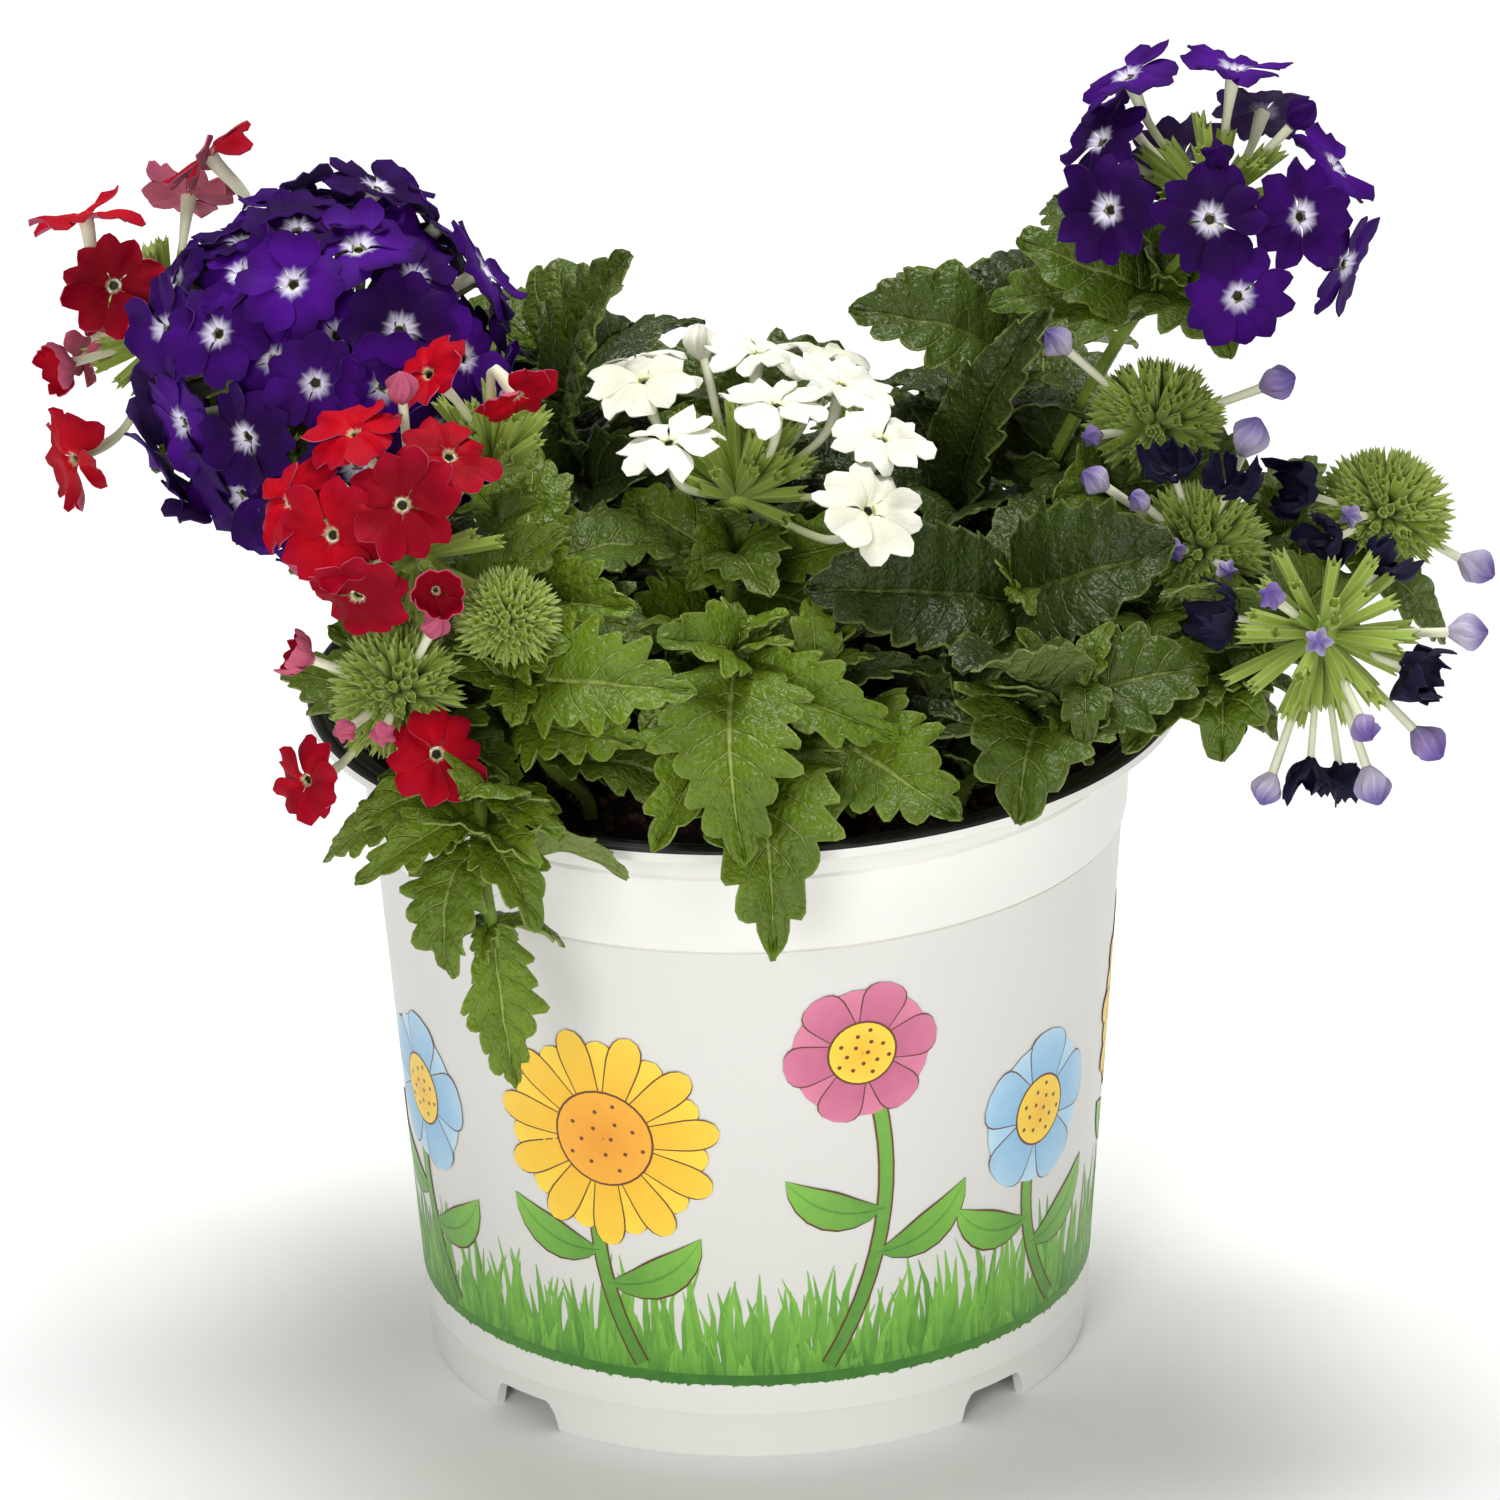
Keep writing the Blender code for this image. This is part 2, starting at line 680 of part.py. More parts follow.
def thickened(places, triangles, rim, thickness):
    """A closed blade from a triangulated surface, its rim and the normal at each place."""
    count = len(places)
    top = [p + n * thickness / 2 for p, n in places]
    low = [p - n * thickness / 2 for p, n in places]
    faces = list(triangles) + [tuple(count + i for i in face) for face in triangles]
    for a, b in zip(rim, rim[1:] + rim[:1]):
        faces += [(a, b, count + b), (a, count + b, count + a)]
    return top + low, faces


def leaf_samples(base, plan):
    """Points over a leaf, with the way along the leaf at each."""
    surface = blade(base, plan)
    length = (Vector(plan.tip) - Vector(base)).length + plan.arch / 2
    rows, half = max(4, round(length / SAMPLE)), max(1, round(plan.width / 2 / SAMPLE))
    out = []
    for i in range(1, rows + 1):
        t = i / rows
        spread = max(1, round(half * leaf_outline(t))) if t < 1 else 0
        for j in range(-spread, spread + 1):
            out.append((surface(t, 1.1 * j / spread if spread else 0)[0], t))
    return out


# Flowers.


def floret_frame(facing, spin=0.0):
    """Two unit vectors across a flower's face."""
    side = Quaternion(facing, spin) @ sideways(facing)
    return side, facing.cross(side)


def open_flower(centre, eye, facing, size, spin):
    """Calyx, tube and five petals as one closed shape, a little sunk at the eye."""
    side, other = floret_frame(facing, spin)
    rim = []
    for k in range(5):
        for offset, reach in PETAL_OUTLINE:
            turn = math.radians(72 * k + offset)
            across = side * math.cos(turn) + other * math.sin(turn)
            fall = facing * (PETAL_DROOP * size * reach**2)
            rim.append(eye + across * (size * reach) - fall)
    neck = eye - facing * (PETAL_THICKNESS + 1.0)
    points, faces = tube(flower_path(centre, neck, facing), TUBE_RADII, 3, side)
    faces.pop()
    ring, low = len(points) - 3, len(points)
    high, top = low + 15, low + 30
    points += [p - facing * PETAL_THICKNESS for p in rim] + rim + [eye - facing * EYE_DEPTH]
    faces += ring_faces(low, high, 15)
    for k in range(15):
        after = (k + 1) % 15
        faces.append((top, high + after, high + k))
        faces.append((ring + k // 5, low + after, low + k))
        if k % 5 == 4:
            faces.append((ring + k // 5, ring + (k // 5 + 1) % 3, low + after))
    return points, faces


def flower_path(centre, eye, facing):
    """A floret's middle line: out from the receptacle, in along its facing."""
    bend = eye - facing * ((eye - centre).length * TUBE_BEND)
    return [centre, centre.lerp(bend, 0.9), eye]


def closed_flower(centre, eye, facing, size):
    """Calyx, tube and a closed or withered flower as one closed shape."""
    path = flower_path(centre, eye - facing * size, facing)[::2]
    path += [eye + facing * (size * 0.1), eye + facing * (size * 0.9)]
    return tube(path, (CALYX_RADIUS, TUBE_RADII[-1], size, size * 0.45), 3)


def needle(foot, tip, width):
    """A slim three-sided calyx."""
    return tube([foot, tip], (width * 0.5, width), 3)


def spiked_ball(centre, radius, axis, length, furthest):
    """A core whose facets are drawn out into calyces, up to an angle from its axis."""
    made = bmesh.new()
    bmesh.ops.create_icosphere(made, subdivisions=2, radius=radius)
    turn = UP.rotation_difference(axis)
    limit = math.cos(math.radians(furthest))
    raised = [f for f in made.faces if f.calc_center_median().normalized().z > limit]
    found = bmesh.ops.extrude_discrete_faces(made, faces=raised)["faces"]
    for i, face in enumerate(found):
        way = face.calc_center_median().normalized()
        tip = way * (radius + length * (0.9 + 0.1 * (i % 2)))
        bmesh.ops.pointmerge(made, verts=face.verts, merge_co=tip)
    points = [centre + turn @ v.co for v in made.verts]
    faces = [tuple(v.index for v in face.verts) for face in made.faces]
    made.free()
    return points, faces


def ball(centre, radius, axis):
    """A plain faceted core."""
    made = bmesh.new()
    bmesh.ops.create_icosphere(made, subdivisions=1, radius=radius)
    turn = UP.rotation_difference(axis)
    points = [centre + turn @ v.co for v in made.verts]
    faces = [tuple(v.index for v in face.verts) for face in made.faces]
    made.free()
    return points, faces


def spiral(axis, count, nearest, furthest):
    """Directions spread evenly over a cap round the axis, between two angles."""
    side, other = floret_frame(axis)
    near, far = math.cos(nearest), math.cos(furthest)
    for i in range(count):
        height = near + (far - near) * (i + 0.5) / count
        flat = math.sqrt(1 - height * height)
        turn = GOLDEN_TURN * i
        yield axis * height + (side * math.cos(turn) + other * math.sin(turn)) * flat


def shingled(ways):
    """A layer (-1, 0 or 1) for each direction, so that near neighbours lie in other layers."""
    layers = []
    for i, way in enumerate(ways):
        nearest = {-1: 4.0, 0: 4.0, 1: 4.0}
        for other, layer in zip(ways, layers):
            nearest[layer] = min(nearest[layer], way.angle(other))
        layers.append(max(nearest, key=nearest.get))
    return layers


def florets_of(head):
    """The open florets of a head: eye, facing, radius and spin."""
    centre, axis = Vector(head.at), Vector(head.axis).normalized()
    if head.florets == "dome":
        ways = list(spiral(axis, DOME_FLORETS, 0, DOME_EDGE))
        found = [
            (centre + way * (DOME_RADIUS + layer * DOME_LAYER), way, DOME_FLORET)
            for way, layer in zip(ways, shingled(ways))
        ]
    else:
        found = [(Vector(f.eye), Vector(f.facing).normalized(), f.size) for f in head.florets]
    return [(eye, facing, size, 2.4 * i) for i, (eye, facing, size) in enumerate(found)]


def needle_ends(head):
    """The feet and tips of a head's own calyces."""
    centre, axis = Vector(head.at), Vector(head.axis).normalized()
    plan = head.needles
    count = FACET_COUNT if plan.count is FACETS else plan.count
    cap = spiral(axis, count, math.radians(plan.nearest), math.radians(plan.furthest))
    for i, way in enumerate(cap):
        length = head.core + plan.length * (0.92 + 0.08 * (i % 3))
        yield centre + way * (head.core * 0.4), centre + way * length


def head_shapes(head):
    centre, axis = Vector(head.at), Vector(head.axis).normalized()
    plan = head.needles
    if plan.count is FACETS:
        shapes = [spiked_ball(centre, head.core, axis, plan.length, plan.furthest)]
    else:
        shapes = [ball(centre, head.core, axis)]
        for foot, tip in needle_ends(head):
            shapes.append(needle(foot, tip, CALYX_RADIUS))
    for flower in florets_of(head):
        shapes.append(open_flower(centre, *flower))
    for place, size in (*head.buds, *head.spent):
        eye = Vector(place)
        shapes.append(closed_flower(centre, eye, (eye - centre).normalized(), size))
    return shapes


def head_samples(head):
    """Points over a head's pieces, for the clearance of leaves."""
    centre, axis = Vector(head.at), Vector(head.axis).normalized()
    out = [centre + way * head.core for way in spiral(axis, 40, 0, math.pi)]
    ends = [(eye, facing) for eye, facing, _, _ in florets_of(head)]
    for place, size in (*head.buds, *head.spent):
        eye = Vector(place)
        facing = (eye - centre).normalized()
        ends.append((eye, facing))
        out += [eye + way * size * 0.9 for way in spiral(facing, 10, 0, math.pi)]
    for eye, facing in ends:
        out += spline(flower_path(centre, eye, facing), SAMPLE)
    for foot, tip in needle_ends(head):
        out += spline((foot, tip), SAMPLE)
    for eye, facing, size, spin in florets_of(head):
        side, other = floret_frame(facing, spin)
        for reach in (0.35, 0.62, 0.9):
            for k in range(round(18 * reach)):
                turn = math.tau * k / round(18 * reach)
                across = side * math.cos(turn) + other * math.sin(turn)
                fall = facing * (PETAL_DROOP * size * reach**2)
                out.append(eye + across * (size * reach) - fall)
    return out


# Stems and the placing of their leaves.


def stem_path(stem):
    """The stem's points, straight up out of the compost first."""
    foot = Vector(stem.points[0])
    return [Vector((foot.x, foot.y, ROOT_Z)), *spline(stem.points, STEM_STEP)]


def stem_radii(path):
    last = len(path) - 1
    return [
        STEM_ROOT_RADIUS + (STEM_TIP_RADIUS - STEM_ROOT_RADIUS) * i / last for i in range(last + 1)
    ]


def on_path(path, share):
    """The place and direction a share of the way along a stem's path."""
    spot = min(share, 0.999) * (len(path) - 1)
    i = int(spot)
    step = path[i + 1] - path[i]
    return path[i] + step * (spot - i), step.normalized()


def stem_samples(path):
    radii = stem_radii(path)
    out = []
    for a, b, radius in zip(path, path[1:], radii):
        ahead = (b - a).normalized()
        side, other = floret_frame(ahead)
        steps = max(1, round((b - a).length / SAMPLE))
        for i in range(steps):
            place = a.lerp(b, i / steps)
            out += [place + side * radius, place - side * radius]
            out += [place + other * radius, place - other * radius]
    return out


def wall_clear(point):
    """Whether a leaf's point keeps clear of the pot's wall and the compost."""
    radius = math.hypot(point.x, point.y)
    outside = radius > RIM_RADIUS + 2.0
    above = point.z > POT_HEIGHT + 2.0
    inside = radius < SHOULDER_RADIUS - 5.0 and point.z > SOIL_TOP + SOIL_RELIEF + 1.5
    return outside or above or inside


def pair_leaves(name, path, pairs):
    """Opposite leaves by rule: each pair across the stem, every other one a quarter turn on."""
    draw = random.Random(name)
    for i, pair in enumerate(pairs):
        base, ahead = on_path(path, pair.along)
        side, other = floret_frame(ahead, math.pi / 2 * i + draw.uniform(-0.4, 0.4))
        for way in (side, -side):
            rise = ahead * 0.35 + UP * draw.uniform(0.05, 0.3)
            reach = (way + rise).normalized() * pair.length * draw.uniform(0.9, 1.1)
            yield Leaf(pair.along, base + reach, pair.width, pair.length * 0.14, 0.0)


def bent(base, plan, swing, lift):
    """The leaf lifted, then swung, by degrees about its base."""
    reach = Vector(plan.tip) - base
    turned = Quaternion(sideways(reach.normalized()), math.radians(lift)) @ reach
    turned = Quaternion(UP, math.radians(swing)) @ turned
    return plan._replace(tip=base + turned)


def bends(swings, lifts):
    """Pairs of a swing and a lift, the smallest first."""
    pairs = ((swing, lift) for swing in swings for lift in lifts)
    return sorted(pairs, key=lambda pair: abs(pair[0]) + abs(pair[1]))


SMALL_BENDS = bends((0, 7, -7, 14, -14, 21, -21), (0, 6, -6, 12, -12, 18, -18, 24))
WIDE_BENDS = bends((0, 15, -15, 30, -30, 45, -45), (0, 12, -12, 24, -20, 36))


def placed_leaves():
    """The leaves of every stem, each bent clear of what is placed before it and left out
    where there is no room: a list of (stem name, base, plan)."""
    points, owners = [], []
    paths = {name: stem_path(stem) for name, stem in STEMS.items()}
    for name, head in HEADS.items():
        found = head_samples(head)
        points += found
        owners += [name] * len(found)
    for name, path in paths.items():
        found = stem_samples(path)
        points += found
        owners += [name] * len(found)

    def fits(name, base, plan):
        for place, t in leaf_samples(base, plan):
            if t > 0.25 and not wall_clear(place):
                return False
            for _, index, _ in tree.find_range(place, CLEARANCE):
                if t > 0.25 or owners[index] != name:
                    return False
        return True

    wanted = []
    for name, stem in STEMS.items():
        wanted += [(name, plan, True) for plan in stem.leaves]
    for name, stem in STEMS.items():
        rule = pair_leaves(name, paths[name], stem.pairs)
        wanted += [(name, plan, False) for plan in rule]
    out = []
    for name, plan, seen in wanted:
        base = on_path(paths[name], plan.along)[0]
        tree = KDTree(len(points))
        for i, place in enumerate(points):
            tree.insert(place, i)
        tree.balance()
        tries = (bent(base, plan, *bend) for bend in (SMALL_BENDS if seen else WIDE_BENDS))
        plan = next((each for each in tries if fits(name, base, each)), None)
        if plan:
            out.append((name, base, plan))
            found = [place for place, _ in leaf_samples(base, plan)]
            points += found
            owners += [name] * len(found)
    return out


# Pot and compost.


def turned(profile, sides):
    """A solid of revolution from (radius, z) points, the first and last on the axis."""
    points, rings = [], []
    for radius, z in profile:
        if radius == 0:
            rings.append([len(points)])
            points.append(Vector((0, 0, z)))
        else:
            rings.append([len(points) + k for k in range(sides)])
            for k in range(sides):
                turn = math.tau * k / sides
                points.append(Vector((radius * math.cos(turn), radius * math.sin(turn), z)))
    faces = []
    for low, high in zip(rings, rings[1:]):
        for k in range(sides):
            after = (k + 1) % sides
            if len(low) == 1:
                faces.append((low[0], high[after], high[k]))
            elif len(high) == 1:
                faces.append((low[k], low[after], high[0]))
            else:
                faces.append((low[k], low[after], high[after], high[k]))
    return points, faces


def inner_radius(z):
    """The radius of the pot's inner wall at a height."""
    share = (z - FLOOR_TOP) / (SHOULDER_Z - FLOOR_TOP)
    return WALL_RADIUS - WALL + (SHOULDER_RADIUS - WALL_RADIUS) * share


def pot_profile():
    return (
        (0, 0),
        (CENTRE_FOOT_RADIUS, 0),
        (CENTRE_FOOT_RADIUS, FLOOR_LOW),
        (FOOT_RADIUS - FOOT_WALL, FLOOR_LOW),
        (FOOT_RADIUS - FOOT_WALL, 0),
        (FOOT_RADIUS, 0),
        (WALL_RADIUS, WALL_Z),
        (81.9, 123.0),
        (82.7, 124.2),
        (SHOULDER_RADIUS, SHOULDER_Z),
        (89.5, 147.4),
        (RIM_RADIUS, 149.0),
        (RIM_RADIUS, POT_HEIGHT),
        (88.0, 149.8),
        (inner_radius(SHOULDER_Z), SHOULDER_Z),
        (inner_radius(FLOOR_TOP), FLOOR_TOP),
        (0, FLOOR_TOP),
    )


def skirt_cutters():
    """Blocks through the foot skirt, for its water gaps and the notches between them."""
    shapes = []
    for count, width, height in (
        (SKIRT_GAPS, SKIRT_GAP_WIDTH, SKIRT_GAP_HEIGHT),
        (SKIRT_NOTCHES, NOTCH_WIDTH, NOTCH_HEIGHT),
    ):
        for k in range(count):
            turn = math.tau * (k + 0.5) / count
            out = Vector((math.cos(turn), math.sin(turn), 0))
            across = Vector((-out.y, out.x, 0))
            corners = ((-0.5, -1), (0.5, -1), (0.36, height), (-0.36, height))
            near = [out * (FOOT_RADIUS - 8) + across * (width * a) + UP * z for a, z in corners]
            far = [out * (FOOT_RADIUS + 8) + across * (width * a) + UP * z for a, z in corners]
            shapes.append((near + far, [(0, 1, 2, 3), (4, 5, 6, 7), *ring_faces(0, 4, 4)]))
    return shapes


def upright_hole(x, y, low, high, radius, sides):
    return tube([Vector((x, y, low)), Vector((x, y, high))], (radius, radius), sides)


def make_pot(look):
    pot = mesh_object("pot", turned(pot_profile(), POT_SIDES))
    cutters = skirt_cutters()
    for k in range(DRAIN_HOLES):
        turn = math.tau * (k + 0.25) / DRAIN_HOLES
        x, y = DRAIN_CIRCLE * math.cos(turn), DRAIN_CIRCLE * math.sin(turn)
        cutters.append(upright_hole(x, y, FLOOR_LOW - 2, FLOOR_TOP + 2, DRAIN_RADIUS, 6))
    operands = [mesh_object(f"cutter_{i}", cutter) for i, cutter in enumerate(cutters)]
    boolean(pot, operands, "DIFFERENCE", "EXACT")
    finish(pot, look, 30)


def make_soil(look):
    draw = random.Random("compost")
    edge = inner_radius(SOIL_TOP - 2) - GAP
    profile = [(0, FLOOR_TOP + GAP), (inner_radius(FLOOR_TOP) - GAP, FLOOR_TOP + GAP)]
    profile += [(edge, SOIL_TOP - 2), *((r, SOIL_TOP) for r in SOIL_RINGS), (0, SOIL_TOP)]
    points, faces = turned(profile, POT_SIDES)
    for i, place in enumerate(points):
        if place.z == SOIL_TOP:
            points[i] = place + UP * draw.uniform(-SOIL_RELIEF, SOIL_RELIEF)
    soil = mesh_object("soil", (points, faces))
    holes = []
    for stem in STEMS.values():
        x, y, _ = stem.points[0]
        holes.append(upright_hole(x, y, ROOT_Z - GAP, POT_HEIGHT, STEM_HOLE, 5))
    operands = [mesh_object(f"hole_{i}", hole) for i, hole in enumerate(holes)]
    boolean(soil, operands, "DIFFERENCE", "EXACT")
    largest_body(soil.data)
    finish(soil, look, 40)


def make_stems(look):
    leaves = placed_leaves()
    for name, stem in STEMS.items():
        path = stem_path(stem)
        shapes = [tube(path, stem_radii(path), 4)]
        shapes += [leaf_solid(base, plan) for owner, base, plan in leaves if owner == name]
        fused(name, shapes, look)


def make_heads():
    for name, head in HEADS.items():
        look = material(f"{name}_petals", HEAD_COLOURS[name], 0.55)
        fused(name, head_shapes(head), look)


def main():
    for obj in list(bpy.data.objects):
        bpy.data.objects.remove(obj)
    make_pot(material("pot_plastic", "#EDECE8", 0.4))
    make_soil(material("compost", "#3A281E", 0.95))
    make_heads()
    make_stems(material("verbena_leaf", "#4B7A24", 0.6))


main()
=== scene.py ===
"""Verbena in a nursery pot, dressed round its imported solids: petals, calyces, veined leaves,
crumbly compost, a two-layer printed pot and a plain studio stage.

The plan is in millimetres and becomes metres where a mesh is made. +Z is up, the pot stands on
z = 0 and the side seen in the photograph faces -Y. The points of the stems, leaves and flowers
are those of the part's own source, so that each fine piece lies where its solid does.
"""

import json
import math
import random
from collections import namedtuple

import bmesh
import bpy
import numpy as np
from bpy.props import FloatProperty, FloatVectorProperty, IntProperty, PointerProperty
from mathutils import Matrix, Quaternion, Vector, noise


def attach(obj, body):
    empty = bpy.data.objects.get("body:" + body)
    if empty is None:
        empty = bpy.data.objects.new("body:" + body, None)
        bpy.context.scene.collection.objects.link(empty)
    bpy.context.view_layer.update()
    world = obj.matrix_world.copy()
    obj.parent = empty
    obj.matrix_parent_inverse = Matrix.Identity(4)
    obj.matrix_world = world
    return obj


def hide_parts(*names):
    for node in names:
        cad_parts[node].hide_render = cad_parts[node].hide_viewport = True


bl_info = {
    "name": "Potted verbena",
    "version": (1, 0, 0),
    "blender": (4, 5, 0),
    "location": "View3D > Sidebar > Verbena",
    "description": "Builds the visible pieces of a potted verbena around its packed solids",
    "category": "Object",
}

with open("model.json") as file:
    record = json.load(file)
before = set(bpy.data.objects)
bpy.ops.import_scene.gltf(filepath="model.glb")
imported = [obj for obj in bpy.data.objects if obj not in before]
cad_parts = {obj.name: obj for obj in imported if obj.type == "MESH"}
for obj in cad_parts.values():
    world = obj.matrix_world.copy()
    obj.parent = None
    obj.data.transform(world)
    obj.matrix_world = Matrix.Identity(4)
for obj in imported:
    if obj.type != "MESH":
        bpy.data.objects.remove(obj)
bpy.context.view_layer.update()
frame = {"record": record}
BODY = "root"
MM = 0.001
UP = Vector((0, 0, 1))
GOLDEN_TURN = math.pi * (3 - math.sqrt(5))
GOLDEN_SPIN = 2.4


def linear(hex_colour):
    """The linear RGBA of an sRGB hex colour."""
    channels = (int(hex_colour[i : i + 2], 16) / 255 for i in (1, 3, 5))
    return [c / 12.92 if c <= 0.04045 else ((c + 0.055) / 1.055) ** 2.4 for c in channels] + [1]


Leaf = namedtuple("Leaf", "along tip width arch roll", defaults=(4.0, 0.0))
Pair = namedtuple("Pair", "along length width")
Stem = namedtuple("Stem", "tone points leaves pairs")
Floret = namedtuple("Floret", "eye facing size")
Head = namedtuple("Head", "at axis core florets buds spent needles")
Needles = namedtuple("Needles", "count length nearest furthest")
FACETS, FACET_COUNT = None, 50

